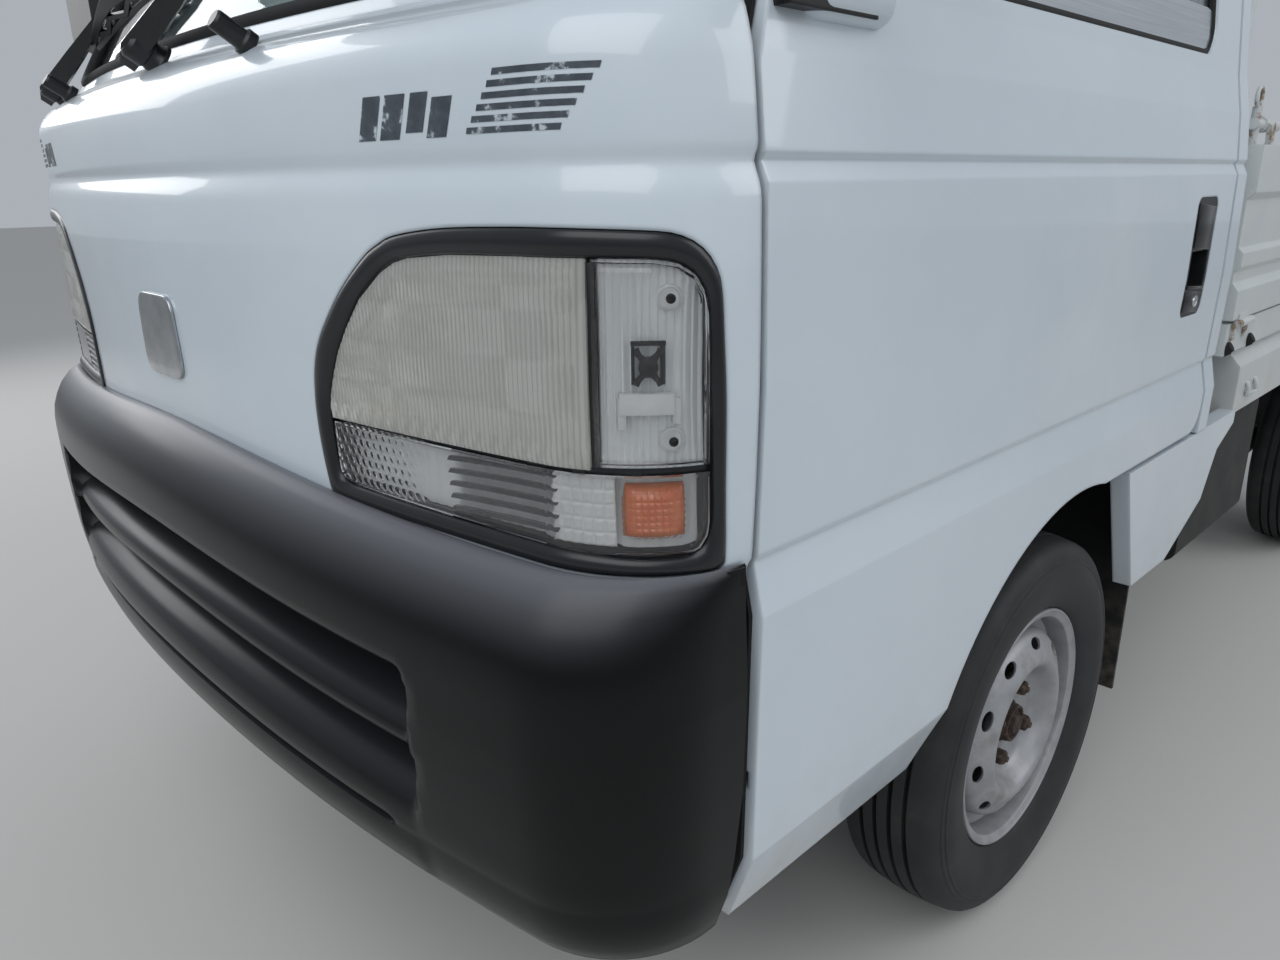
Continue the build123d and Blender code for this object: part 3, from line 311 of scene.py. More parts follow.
edit(tyre, in_groove, "FACE")
bpy.ops.mesh.extrude_region_move()
bpy.ops.object.mode_set(mode="OBJECT")
for vertex in tyre.data.vertices:
    if vertex.select:
        across = Vector((0, vertex.co.y, vertex.co.z))
        vertex.co -= across.normalized() * groove_depth * mm
        vertex.co.x *= 0.97
done(tyre, 30)
# carbon-black rubber, weathered to a dull grey with dust in its grain
tyre_black, shader = gloss("tyre_rubber", 0.62, IOR=1.52)
tint(tyre_black, shader, patches(tyre_black, 60, (0.35, "#17181a"), (0.6, "#222325"), (0.8, "#34332f")))
grain(tyre_black, shader, 1.6, 0.12)
tyre.data.materials.append(tyre_black)
for corner, (side, y) in corners.items():
    piece = copy_to(tyre, "tyre_moulded_" + corner, (side * half_track, y, axle_height), side < 0)
    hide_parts("tyre_" + corner)
    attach(piece, "wheel_" + corner)
bpy.data.objects.remove(tyre)

# Wheels: pressed steel, the disc welded into the rolled rim, sprayed silver and chalky with age.
# Ten oval hand holes ring the disc, and four nuts and the hub in its dished centre have rusted.
rim_section = [
    (-57, 168), (-55, 169.3), (-52, 168), (-50.5, 163.5), (-49, 160.2), (-30, 158), (-26, 153), (-23, 142),
    (-20, 140), (10, 140), (14, 142), (17, 153), (21, 158), (49, 160.2), (50.5, 163.5), (52, 168), (54.5, 169.3),
    (57, 168), (57.4, 166), (55.6, 164.6), (54.4, 160), (52, 156.4), (48, 155.4), (24, 153.4), (20.5, 149),
    (17.5, 139), (14, 136.2), (-24, 136.2), (-27, 139), (-29.5, 149), (-33, 153.4), (-52, 156.4), (-55.6, 164.6),
    (-57.4, 166),
]
disc_section = [
    (-2, 135.8), (22, 136), (33, 135.4), (41, 133), (47, 128.5), (51, 122.5), (54.5, 115), (58, 108), (61, 102.5),
    (62.5, 98), (61.5, 93), (57.5, 88), (50, 83.5), (42, 80), (36, 76), (33, 71), (32, 64), (32, 30), (28, 30),
    (28, 65), (29, 73), (33, 79), (40, 84), (48, 87.5), (54.5, 91.5), (58, 96), (58.4, 98), (57.2, 101),
    (54.4, 106.4), (51, 113.5), (47.6, 120.6), (44, 125.8), (39, 129.5), (32.4, 131.6), (22, 132), (-2, 131.8),
]
rim = turned_ring("rim", rim_section, 96)
disc = turned_ring("disc", disc_section, 160)
hole_count = 10
hole_circle = 119.5
hole_half = (8.5, 14)
hole_tilt = 62
first_hole = 9
bpy.ops.object.select_all(action="DESELECT")
for k in range(hole_count):
    turn = math.radians(first_hole + 360 / hole_count * k)
    bpy.ops.mesh.primitive_cylinder_add(vertices=28, radius=1, depth=0.08)
    cutter = bpy.context.object
    cutter.data.transform(
        Matrix.Rotation(turn - math.pi / 2, 4, "X")
        @ Matrix.Translation((0.05, 0, hole_circle * mm))
        @ Matrix.Rotation(math.radians(hole_tilt), 4, "Y")
        @ Matrix.Diagonal((hole_half[0] * mm, hole_half[1] * mm, 1, 1))
    )
    modify(disc, "BOOLEAN", operation="DIFFERENCE", object=cutter, solver="EXACT")
    bpy.data.objects.remove(cutter)
pick(disc)
rim.select_set(True)
bpy.context.view_layer.objects.active = rim
bpy.ops.object.join()
# aluminium-pigmented lacquer on steel: a soft metallic sheen, dulled by brake dust
rim_silver, shader = gloss("silver_wheel_lacquer", 0.45, coat=0.15, coat_roughness=0.25, Metallic=0.4)
tint(rim_silver, shader, patches(rim_silver, 55, (0.3, "#8f9093"), (0.55, "#a5a6a9"), (0.8, "#7c7973")))
grain(rim_silver, shader, 1.2, 0.05, edge=1.5)
rim.data.materials.clear()
rim.data.materials.append(rim_silver)
done(rim, 40)
for corner, (side, y) in corners.items():
    piece = copy_to(rim, "rim_pressed_" + corner, (side * half_track, y, axle_height), side < 0)
    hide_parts("rim_" + corner)
    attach(piece, "wheel_" + corner)
bpy.data.objects.remove(rim)

# Wheel nuts, studs and the hub: forged and cast steel, bare and rusted brown.
# Four nuts hold each wheel's dished centre to its hub.
rust_brown, shader = gloss("rusted_cast_iron", 0.9)
tint(rust_brown, shader, patches(rust_brown, 9, (0.3, "#1f1b1a"), (0.5, "#3b302a"), (0.72, "#665446")))
grain(rust_brown, shader, 1.5, 0.35)
nut_circle = 50
nut_count = 4
first_nut = 65
nut_seat = 37
hub_seat = 42
bpy.ops.object.select_all(action="DESELECT")
bpy.ops.mesh.primitive_cylinder_add(vertices=6, radius=11.5 * mm, depth=12 * mm, location=(0, 0, 0))
nut = bpy.context.object
nut.name = "nut"
edit(nut, lambda face: face.normal.z > 0.9, "FACE")
bpy.ops.mesh.inset(thickness=0.0022)
bpy.ops.transform.translate(value=(0, 0, 0.0025))
bpy.ops.mesh.inset(thickness=0.0036)
bpy.ops.mesh.extrude_region_move(TRANSFORM_OT_translate={"value": (0, 0, 0.004)})
bpy.ops.object.mode_set(mode="OBJECT")
modify(nut, "BEVEL", width=0.0008, segments=2)
bpy.ops.object.select_all(action="DESELECT")
bpy.ops.mesh.primitive_cylinder_add(vertices=40, radius=26 * mm, depth=6 * mm)
cap = bpy.context.object
cap.name = "hub_cap"
edit(cap, lambda face: face.normal.z > 0.9, "FACE")
bpy.ops.mesh.inset(thickness=0.004)
bpy.ops.mesh.extrude_region_move(TRANSFORM_OT_translate={"value": (0, 0, -0.004)})
bpy.ops.mesh.inset(thickness=0.008)
bpy.ops.mesh.extrude_region_move(TRANSFORM_OT_translate={"value": (0, 0, 0.007)})
bpy.ops.object.mode_set(mode="OBJECT")
modify(cap, "BEVEL", width=0.001, segments=2)
hub = copy_to(cap, "hub_set", (0, 0, 0))
hub.data.transform(Matrix.Translation((hub_seat * mm, 0, 0)) @ Matrix.Rotation(math.pi / 2, 4, "Y"))
bpy.data.objects.remove(cap)
for k in range(nut_count):
    one = copy_to(nut, "nut_%d" % k, (0, 0, 0))
    one.data.transform(
        Matrix.Rotation(math.radians(first_nut + 360 / nut_count * k) - math.pi / 2, 4, "X")
        @ Matrix.Translation((nut_seat * mm, 0, nut_circle * mm))
        @ Matrix.Rotation(math.pi / 2, 4, "Y")
    )
    pick(hub)
    one.select_set(True)
    bpy.ops.object.join()
bpy.data.objects.remove(nut)
hub.data.materials.append(rust_brown)
done(hub, 30)
for corner, (side, y) in corners.items():
    piece = copy_to(hub, "wheel_nuts_" + corner, (side * half_track, y, axle_height), side < 0)
    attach(piece, "wheel_" + corner)
bpy.data.objects.remove(hub)
finish(["hub_" + corner for corner in corners] + ["knuckle_left", "knuckle_right"], rust_brown)

# Front bumper: satin black polypropylene, injection moulded in one with the two slats of its air intake,
# its top lip under the nose and its ends clipped ahead of the wheel arches.
body_half = 694
nose_y = front + 53
nose_bow = 3170
slot_half = 478
groove_half = 436
groove_rows = range(31, 35)
line_drop = 28
drop_reach = 363
# the share of that drop at the bumper's foot, which is whole again so far above the foot
foot_drop = 0.36
foot_height, foot_rise = 400, 220
bumper_wall = 2.8
# how far proud of the nose and how high: beside the intake, then across the intake
bumper_rows = [
    (-4, 728, -4, 728), (-2, 738, -2, 738), (1, 743.5, 1, 743.5), (6, 745, 6, 745), (12, 743.6, 12, 743.6),
    (22, 737, 22, 737), (34, 723, 34, 723), (43, 706, 43, 706), (49.6, 688, 49.6, 688), (52.4, 670, 52.4, 670),
    (53, 655, 53, 655), (53, 648, 52.4, 647), (53, 644, 50, 642.4), (53, 640, 46, 640.5), (53, 634, 30, 638),
    (53, 628, -26, 634), (53, 612, -26, 600), (53, 600, 10, 593), (52.7, 592, 34, 583), (52.5, 584, 41, 576),
    (52.2, 576, 43.5, 568), (52, 568, 42.5, 560), (51.8, 562, 38, 555.5), (51.5, 556, -26, 551),
    (51, 540, -26, 529), (50.5, 530, 10, 521), (50, 520, 34, 509), (49.3, 508, 42, 500), (48.7, 496, 45.5, 490),
    (48, 484, 46.5, 480), (47, 474, 46, 471), (46, 468.5, 44, 467.6), (45.5, 465.6, 37, 465.8),
    (45.2, 462.6, 37, 461.8), (45, 459.6, 44.5, 459.8), (44, 450, 45.6, 452), (42, 438, 44.4, 438),
    (37, 420, 38.5, 418), (28, 403.5, 28, 402.5), (20, 395.5, 20, 395), (11, 392, 11, 392), (0, 391.5, 0, 391.5),
    (-12, 392, -12, 392),
]
# height, how far the end lies inside the body's side, corner radius, where the end stops
bumper_ends = [
    (390, 25, 104, 191), (402, 14, 110, 194), (440, 6, 115, 201), (476, 5, 116, 207), (540, 3, 116, 213),
    (640, 1, 118, 213), (672, 2, 118, 213), (700, 4, 120, 213), (724, 5, 124, 213), (748, 6, 128, 213),
]


def between(rows, key):
    """The values of a table's row at a key, read straight between its neighbours."""
    if key <= rows[0][0]:
        return rows[0][1:]
    for low, high in zip(rows, rows[1:]):
        if key <= high[0]:
            share = (key - low[0]) / (high[0] - low[0])
            return [a + (b - a) * share for a, b in zip(low[1:], high[1:])]
    return rows[-1][1:]


def ease(value, low, high):
    """0 below low, 1 above high, and smooth from one to the other."""
    share = min(max((value - low) / (high - low), 0), 1)
    return share * share * (3 - 2 * share)


# columns from the middle to the end: across the bow, round the corner, along the side
bow_columns = [0, 30, 60, 100, 140, 180, 220, 260, 300, 340, 380, 410, 424, 430, 436, 442, 450, 458, 464, 470,
               476, 482, 488, 500]
corner_steps = 14
side_steps = 4


def both_halves(flat):
    """The columns of a whole face, right end to left, from the flat bow columns of one half."""
    half = [("bow", x) for x in flat] + [("edge", k / 3) for k in (1, 2)]
    half += [("corner", k / corner_steps) for k in range(corner_steps + 1)]
    half += [("side", k / side_steps) for k in range(1, side_steps + 1)]
    return [(-1, column) for column in half[:0:-1]] + [(1, column) for column in half]


def plan_point(stretch, value, half, centre, bow, corner, end, flat):
    """Where a column lies in plan: on the bow, past its flat columns, round the corner or along the side."""
    corner_x = half - corner
    corner_y = centre - math.sqrt((bow - corner) ** 2 - corner_x ** 2)
    touch_x = corner_x * bow / (bow - corner)
    if stretch in ("bow", "edge"):
        x = value if stretch == "bow" else flat + (touch_x - flat) * value
        return x, centre - math.sqrt(bow ** 2 - x ** 2)
    first = math.asin(corner_x / (bow - corner))
    if corner_y > end:
        # the face ends while it still turns
        last = math.acos((corner_y - end) / corner)
        share = 0.9 * value if stretch == "corner" else 0.9 + 0.1 * value
        turn = first + (last - first) * share
    elif stretch == "side":
        return half, corner_y + (end - corner_y) * value
    else:
        turn = first + (math.pi / 2 - first) * value
    return corner_x + corner * math.sin(turn), corner_y - corner * math.cos(turn)


bumper_columns = both_halves(bow_columns)


def on_bumper(column, row):
    """A point of the bumper's face from its column and its row of the tables."""
    side, (stretch, value) = bumper_columns[column]
    proud, height, slot_proud, slot_height = bumper_rows[row]
    inset, corner, end = between(bumper_ends, height)
    if stretch == "bow":
        limit = groove_half if row in groove_rows else slot_half
        share = ease(value, limit - 10, limit + 6)
        proud += (slot_proud - proud) * (1 - share)
        height += (slot_height - height) * (1 - share)
    x, y = plan_point(stretch, value, body_half - inset, nose_y + nose_bow, nose_bow + proud, corner,
                      front + end, bow_columns[-1])
    weight = foot_drop + (1 - foot_drop) * min(max((height - foot_height) / foot_rise, 0), 1)
    drop = line_drop * weight * (1 - math.exp(-(x / drop_reach) ** 2))
    return Vector((side * x, y, height - drop)) * mm


def sheet_of(name, across, down, place):
    """A grid with so many columns and rows of faces, each of its points moved to its own place."""
    bpy.ops.object.select_all(action="DESELECT")
    bpy.ops.mesh.primitive_grid_add(x_subdivisions=across, y_subdivisions=down, size=2)
    piece = bpy.context.object
    piece.name = piece.data.name = name
    for vertex in piece.data.vertices:
        column = round((vertex.co.x + 1) / 2 * across)
        row = round((vertex.co.y + 1) / 2 * down)
        vertex.co = place(column, row)
    return piece


def turn_out(piece, way):
    """Turns an open sheet's faces so that they look a way on the whole."""
    if sum((face.normal.dot(Vector(way)) * face.area for face in piece.data.polygons)) < 0:
        piece.data.flip_normals()


bumper = sheet_of("bumper_moulding", len(bumper_columns) - 1, len(bumper_rows) - 1, on_bumper)
edit(bumper, lambda face: abs(face.center.x) < slot_half * mm and face.center.y > (nose_y + 20) * mm
     and abs(face.normal.y) > 0.8, "FACE")
bpy.ops.mesh.delete(type="FACE")
bpy.ops.object.mode_set(mode="OBJECT")
close_seams(bumper)
turn_out(bumper, (0, -1, 0))
modify(bumper, "SOLIDIFY", thickness=bumper_wall * mm, offset=-1)
done(bumper, 40)
# glass-filled polypropylene with a fine moulded grain: deep black, with a broad soft sheen on its crest painted into
# the colour
bumper_black, shader = gloss("satin_black_polypropylene", 0.28, IOR=1.32)
deep = patches(bumper_black, 130, (0.35, "#040506"), (0.6, "#07080a"), (0.8, "#0c0d0f"))
# painted sheen: faces that look up are made a soft light grey, as the sky's reflection would light them; the crest
# gets most, the slats below it hardly any
spots = add_node(bumper_black, "ShaderNodeTexCoord")
facing_up = add_node(bumper_black, "ShaderNodeSeparateXYZ", [(spots.outputs["Normal"], "Vector")])
place = add_node(bumper_black, "ShaderNodeSeparateXYZ", [(spots.outputs["Object"], "Vector")])
sheen_on_upward_faces = add_node(bumper_black, "ShaderNodeMapRange", [(facing_up.outputs["Z"], "Value")],
                 interpolation_type="SMOOTHSTEP", From_Min=0.22, From_Max=0.98, To_Max=0.62)
crest = add_node(bumper_black, "ShaderNodeMapRange", [(place.outputs["Z"], "Value")],
                 interpolation_type="SMOOTHSTEP", From_Min=0.58, From_Max=0.68, To_Min=0.12)
share = add_node(bumper_black, "ShaderNodeMath", [(sheen_on_upward_faces.outputs["Result"], 0), (crest.outputs["Result"], 1)],
                 operation="MULTIPLY")
# painted highlight: the light grey mixed in here stands for the sky's reflection on the crest
painted_sheen = add_node(bumper_black, "ShaderNodeMixRGB", [(share.outputs["Value"], "Fac"), (deep, "Color1")],
                    Color2=linear("#83868d"))
tint(bumper_black, shader, painted_sheen.outputs["Color"])
grain(bumper_black, shader, 1.2, 0.06)
bumper.data.materials.append(bumper_black)
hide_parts("front_bumper")
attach(bumper, "root")

# Lamp bezel: satin black ABS, one moulded frame round all three lamps, let into the nose's corner
# with a rounded face that stands just proud of the paint.
# height, how far the side lies inside the widest place, setback, corner radius
nose_levels = [
    (373, 58, 42, 80), (444, 33, 34, 96), (600, 30, 30, 100), (699.5, 34, 32, 98), (700, 12, 6, 124),
    (712, 10, 4, 126), (719, 6.4, 0.4, 129.6), (726, 5.8, -0.2, 130), (780, 4, -1.4, 130), (850, 3, -2, 130),
    (920, 4, -1.5, 130), (974, 5.4, -0.3, 130), (982, 6.4, 0.5, 129.4), (988, 8.2, 2.1, 128), (994, 10.8, 4.4, 126),
    (999, 12.6, 5.9, 124.4), (1003, 11.9, 5.2, 125.2), (1007, 10, 3.7, 127.2), (1012, 9.4, 3, 128),
    (1040, 12.4, 2.4, 127), (1060, 14.8, 1.8, 126.4), (1068, 16, 2.4, 126), (1076, 17.6, 5, 125.6),
    (1084, 19.4, 9.4, 124.8), (1092, 21, 16.4, 124), (1100, 22.6, 28, 122.8), (1109, 24.4, 44, 121.4),
    (1118, 26, 62, 120), (1134, 27.8, 71, 119.6),
]


def on_nose(run, height, out=0.0):
    """The point a run along the nose from the middle, at a height, so far proud of the paint, in mm."""
    inset, setback, corner = between(nose_levels, height)
    half = body_half - inset
    bow = nose_bow
    face = nose_y + setback
    corner_x = half - corner
    corner_y = face + bow - math.sqrt((bow - corner) ** 2 - corner_x ** 2)
    first = math.asin(corner_x / (bow - corner))
    flat = bow * first
    if run <= flat:
        turn = run / bow
        x = (bow + out) * math.sin(turn)
        y = face + bow - (bow + out) * math.cos(turn)
    else:
        turn = min(first + (run - flat) / corner, math.pi / 2)
        x = corner_x + (corner + out) * math.sin(turn)
        y = corner_y - (corner + out) * math.cos(turn)
        y += max(run - flat - corner * (math.pi / 2 - first), 0)
    return Vector((x, y, height)) * mm


def smooth_loop(points, count):
    """A closed smooth curve through points, in even steps along it."""
    fine = []
    for i in range(len(points)):
        a, b, c, d = (Vector(points[(i + k) % len(points)]) for k in (-1, 0, 1, 2))
        for k in range(8):
            t = k / 8
            fine.append(0.5 * ((2 * b) + (c - a) * t + (2 * a - 5 * b + 4 * c - d) * t ** 2
                               + (3 * b - a - 3 * c + d) * t ** 3))
    fine.append(fine[0])
    lengths = [(b - a).length for a, b in zip(fine, fine[1:])]
    step = sum(lengths) / count
    loop, gone = [], 0.0
    for a, b, length in zip(fine, fine[1:], lengths):
        while len(loop) < count and len(loop) * step <= gone + length:
            loop.append(a.lerp(b, (len(loop) * step - gone) / length))
        gone += length
    return loop


def toward(loop, centre, target):
    """For each point of a loop, where the ray to it from the centre meets the target loop."""
    met = []
    for point in loop:
        ray = point - centre
        best = None
        for a, b in zip(target, target[1:] + target[:1]):
            edge = b - a
            cross = ray.x * edge.y - ray.y * edge.x
            if abs(cross) < 1e-9:
                continue
            far = ((a.x - centre.x) * edge.y - (a.y - centre.y) * edge.x) / cross
            along = ((a.x - centre.x) * ray.y - (a.y - centre.y) * ray.x) / cross
            if far > 0 and -1e-6 <= along <= 1 + 1e-6:
                best = centre + ray * far
        met.append(best)
    return met


# outlines as (run along the nose, height), clockwise from the lower inner corner
bezel_outline = [
    (331, 724), (329, 732), (325, 760), (323, 791), (324, 815), (329, 840), (340, 863), (356, 883), (380, 908),
    (413, 934), (432, 944), (452, 951), (501, 957), (560, 959), (613, 959), (672, 957), (692, 954), (706, 947),
    (716, 936), (722, 920), (725, 880), (727, 843), (727, 780), (727, 729), (725, 720), (717, 716), (680, 716),
    (600, 718), (500, 720), (400, 722), (339, 722),
]
lens_outline = [
    (346, 745), (342, 765), (341, 798), (343, 815), (351, 834), (362, 855), (377, 876), (399, 901), (429, 923),
    (446, 931), (462, 935), (508, 939), (570, 940), (626, 940), (673, 939), (692, 936), (704, 929), (711, 918),
    (714, 903), (716, 850), (717, 794), (717, 760), (714, 744), (708, 735), (697, 731), (662, 731), (603, 734),
    (486, 736), (399, 738), (354, 740),
]
lamp_centre = Vector((560, 835))
ring_steps = 144
bezel_outer = smooth_loop(bezel_outline, ring_steps)
bezel_inner = toward(bezel_outer, lamp_centre, smooth_loop(lens_outline, 240))
# across the frame, from the paint to the lens: share of the width, then how far proud
bezel_profile = [(0, -12), (0, -1.5), (0.03, 0.3), (0.12, 1.9), (0.28, 2.8), (0.5, 3), (0.7, 2.2), (0.86, 0.6),
                 (0.95, -1.2), (1, -3.4), (1, -16)]


def on_bezel(column, row):
    """A point of the bezel's rounded face."""
    share, out = bezel_profile[row]
    point = bezel_outer[column % ring_steps].lerp(bezel_inner[column % ring_steps], share)
    return on_nose(point.x, point.y, out)


bezel = sheet_of("bezel_moulding_left", ring_steps, len(bezel_profile) - 1, on_bezel)
close_seams(bezel)
done(bezel, 50)
# moulded ABS under satin black paint, smoother than the bumper, a little dusty in patches
bezel_black, shader = gloss("satin_black_abs", 0.27, IOR=1.52)
tint(bezel_black, shader, patches(bezel_black, 60, (0.4, "#0f1215"), (0.65, "#15191c"), (0.85, "#222527")))
grain(bezel_black, shader, 1.5, 0.03)
bezel.data.materials.append(bezel_black)
bezel_right = copy_to(bezel, "bezel_moulding_right", (0, 0, 0), True)
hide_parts("lamp_bezels")
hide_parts("lamp_bezels")
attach(bezel, "root")
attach(bezel_right, "root")

# Nose: one deep-drawn steel panel, white enamel outside, with a pressed crease under the windscreen,
# cut out for the lamps. Where it stands back behind the bumper it is coloured black as painted shade, for that part
# lies in shadow.
nose_flat = list(range(0, 521, 40))
nose_end = front + 221.6
behind_bumper = 0.701
nose_columns = both_halves(nose_flat)


def on_panel(column, row):
    """A point of the nose panel's skin."""
    side, (stretch, value) = nose_columns[column]
    height, inset, setback, corner = nose_levels[row]
    x, y = plan_point(stretch, value, body_half - inset, nose_y + setback + nose_bow, nose_bow, corner,
                      nose_end, nose_flat[-1])
    return Vector((side * x, y, height)) * mm


nose = sheet_of("nose_panel", len(nose_columns) - 1, len(nose_levels) - 1, on_panel)
turn_out(nose, (0, -1, 0))
modify(nose, "SOLIDIFY", thickness=0.0014, offset=-1)
# the cutting tool follows the nose in front of and behind the skin: share of the outline, how far proud
cutter_rows = [(0, 14), (0.3, 14), (0.6, 14), (0.8, 14), (1.003, 14), (1.003, -12), (0.8, -12), (0.6, -12),
               (0.3, -12), (0, -12)]
for side in (1, -1):
    cutter = sheet_of("lamp_cutter", ring_steps, len(cutter_rows) - 1, lambda column, row: on_nose(
        *lamp_centre.lerp(bezel_outer[column % ring_steps], cutter_rows[row][0]), cutter_rows[row][1]))
    if side < 0:
        cutter.data.transform(Matrix.Scale(-1, 4, (1, 0, 0)))
    close_seams(cutter)
    modify(nose, "BOOLEAN", operation="DIFFERENCE", object=cutter, solver="EXACT")
    bpy.data.objects.remove(cutter)
nose.data.materials.clear()
nose.data.materials.append(cab_white)
nose.data.materials.append(underseal_and_shade_black)
# the faces low down behind the bumper take the black material as painted shade
for face in nose.data.polygons:
    face.material_index = 1 if face.center.z < behind_bumper else 0
done(nose, 30)
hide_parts("front_panel")
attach(nose, "root")

# Headlamps: a pressed-glass lens with vertical flutes, gone yellowish with age, cemented to a housing
# with a vacuum-metallised reflector bowl and a dipped-beam shield in front of the bulb.
lamp_front = -3.2
lamp_split = 796
headlamp_end = 629
flute_pitch = 4.5


def lens_edges(run, low, high):
    """The heights between which the lens outline runs, within a lamp's own low and high."""
    met = []
    for a, b in zip(lens_outline, lens_outline[1:] + lens_outline[:1]):
        if min(a[0], b[0]) <= run <= max(a[0], b[0]) and a[0] != b[0]:
            met.append(a[1] + (b[1] - a[1]) * (run - a[0]) / (b[0] - a[0]))
    return max(min(met), low), min(max(met), high)


def lens_of(name, left, right, low, high, across, down, pattern):
    """A moulded lens, smooth behind, whose face is raised by a pattern of run, height and edge distance."""
    def spot(column, row, raised=False):
        run = left + (right - left) * column / across
        foot, head = lens_edges(run, low, high)
        height = foot + (head - foot) * row / down
        edge = min(run - left, right - run, height - foot, head - height)
        return on_nose(run, height, lamp_front + (pattern(run, height, edge) if raised else 0))

    piece = sheet_of(name, across, down, spot)
    turn_out(piece, (0.3, -1, 0))
    grid = len(piece.data.vertices)
    modify(piece, "SOLIDIFY", thickness=0.003, offset=-1)
    for index in range(grid):
        row, column = divmod(index, across + 1)
        piece.data.vertices[index].co = spot(column, row, True)
    return done(piece, 50)


def head_flutes(run, height, edge):
    """Fine upright flutes that shift from block to block, leaning at the inner corner, toothed at the foot."""
    if height < lamp_split + 15 and edge > 0.6:
        return 1.9 * abs(2 * ((run / 6.4 + (height - lamp_split) / 26) % 1) - 1)
    if run > headlamp_end - 9 and edge > 0.6:
        return 1.3 * abs(math.sin(math.pi * height / 4.2))
    block = sum(height > level for level in (834, 868, 902, 922)) + sum(run > place for place in (430, 560))
    lean = (height - 850) * 0.22 * max(0.0, (450 - run) / 110)
    wave = abs(math.sin(math.pi * ((run + lean) / flute_pitch + 0.5 * (block % 2))))
    return (1.3 if edge > 5 else 0.5) * wave


headlamp = lens_of("headlamp_lens_left", 342.2, headlamp_end, lamp_split, 941, 256, 34, head_flutes)
# pressed soda glass, old: a yellowish grey body that blurs what is behind it, with painted shade between the
# flutes, so that each shows as a pale lit line with darker shaded sides
pressed_glass, shader = gloss("pressed_soda_glass", 0.05, coat=0.4, IOR=1.5, Transmission_Weight=0.62)
clear = patches(pressed_glass, 130, (0.32, "#e6e5dd"), (0.5, "#f3f3ee"), (0.72, "#fcfcfa"))
spot = add_node(pressed_glass, "ShaderNodeTexCoord").outputs["Object"]
# bands along the lens darken the valleys between the flutes: painted shade
lines = add_node(pressed_glass, "ShaderNodeTexWave", [(spot, "Vector")], Scale=math.tau / 20 / (flute_pitch * mm),
                 Distortion=0.5, Detail=1.0)
painted_flute_shade = add_node(pressed_glass, "ShaderNodeMapRange", [(lines.outputs["Fac"], "Value")], From_Min=0.6, From_Max=0.05,
                 To_Max=0.32)
body = add_node(pressed_glass, "ShaderNodeMixRGB", [(painted_flute_shade.outputs["Result"], "Fac"), (clear, "Color1")],
                Color2=linear("#8b8b81"))
tint(pressed_glass, shader, body.outputs["Color"])
grain(pressed_glass, shader, 3, 0.03)
headlamp.data.materials.append(pressed_glass)

# the bowl: share of the way to the bulb, then how far behind the paint
bowl_outline = [
    (364, 803), (363, 818), (381, 850), (414, 888), (444, 908), (474, 917), (540, 921), (602, 922), (612, 917),
    (615, 900), (616, 850), (616, 808), (610, 803), (520, 803), (420, 803),
]
bowl_profile = [(0, 7), (0.01, 16), (0.05, 24), (0.14, 34), (0.28, 44), (0.45, 52), (0.65, 58), (0.84, 61),
                (0.86, 66), (1, 66)]
bulb = Vector((540, 852))
bowl_loop = smooth_loop(bowl_outline, 96)


def on_bowl(column, row):
    """A point of the reflector bowl."""
    share, depth = bowl_profile[row]
    point = bowl_loop[column % 96].lerp(bulb, share)
    return on_nose(point.x, point.y, -depth)


bowl = sheet_of("headlamp_reflector_left", 96, len(bowl_profile) - 1, on_bowl)
close_seams(bowl)
turn_out(bowl, (0.2, -1, 0))
done(bowl, 50)
# polyester sprayed smooth and vacuum-metallised: a bright mirror, slightly hazed
metallised, shader = gloss("vacuum_metallised_reflector", 0.16, Metallic=1.0)
tint(metallised, shader, patches(metallised, 70, (0.35, "#f0efe9"), (0.75, "#dcdbd4")))
grain(metallised, shader, 14, 0.25)
bowl.data.materials.append(metallised)


def facing(run, height, out=0.0):
    """The frame of a place on the nose: along the run, up and outwards."""
    place = on_nose(run, height, out)
    along = (on_nose(run + 1, height, out) - place).normalized()
    outward = (on_nose(run, height, out + 1) - place).normalized()
    turned = Matrix((along, outward.cross(along), outward)).transposed().to_4x4()
    return Matrix.Translation(place) @ turned


def bar_on(name, place, size, edge=0.6):
    """A bar with rounded edges, so wide, high and deep in mm, in the frame of a place."""
    bpy.ops.object.select_all(action="DESELECT")
    bpy.ops.mesh.primitive_cube_add(size=1)
    bar = bpy.context.object
    bar.name = bar.data.name = name
    bar.data.transform(Matrix.Diagonal([value * mm for value in size] + [1]))
    modify(bar, "BEVEL", width=edge * mm, segments=2)
    bar.data.transform(place)
    return bar


def drum_on(name, place, steps, sides=32):
    """A round piece of (radius, forward) steps in mm, standing out of a place."""
    bpy.ops.object.select_all(action="DESELECT")
    bpy.ops.mesh.primitive_cylinder_add(vertices=sides, radius=steps[0][0] * mm, depth=steps[0][1] * mm)
    drum = bpy.context.object
    drum.name = drum.data.name = name
    edit(drum, lambda face: face.normal.z > 0.9, "FACE")
    for (radius, high), (narrower, forward) in zip(steps, steps[1:]):
        bpy.ops.mesh.extrude_region_move()
        bpy.ops.transform.resize(value=(narrower / radius, narrower / radius, 1))
        bpy.ops.transform.translate(value=(0, 0, (forward - high) * mm))
    bpy.ops.object.mode_set(mode="OBJECT")
    drum.data.transform(place @ Matrix.Translation((0, 0, steps[0][1] / 2 * mm)))
    return drum


def bar_at(name, run, height, out, size, tilt=0.0, edge=0.6):
    """A bar that lies on the nose, tilted by degrees."""
    return bar_on(name, facing(run, height, out) @ Matrix.Rotation(math.radians(tilt), 4, "Z"), size, edge)


def drum_at(name, run, height, out, steps, sides=32):
    """A round piece that stands out of the nose."""
    return drum_on(name, facing(run, height, out), steps, sides)


def joined(name, *pieces):
    """Several pieces made one mesh."""
    pick(pieces[0])
    for piece in pieces[1:]:
        piece.select_set(True)
    bpy.ops.object.join()
    pieces[0].name = pieces[0].data.name = name
    return pieces[0]


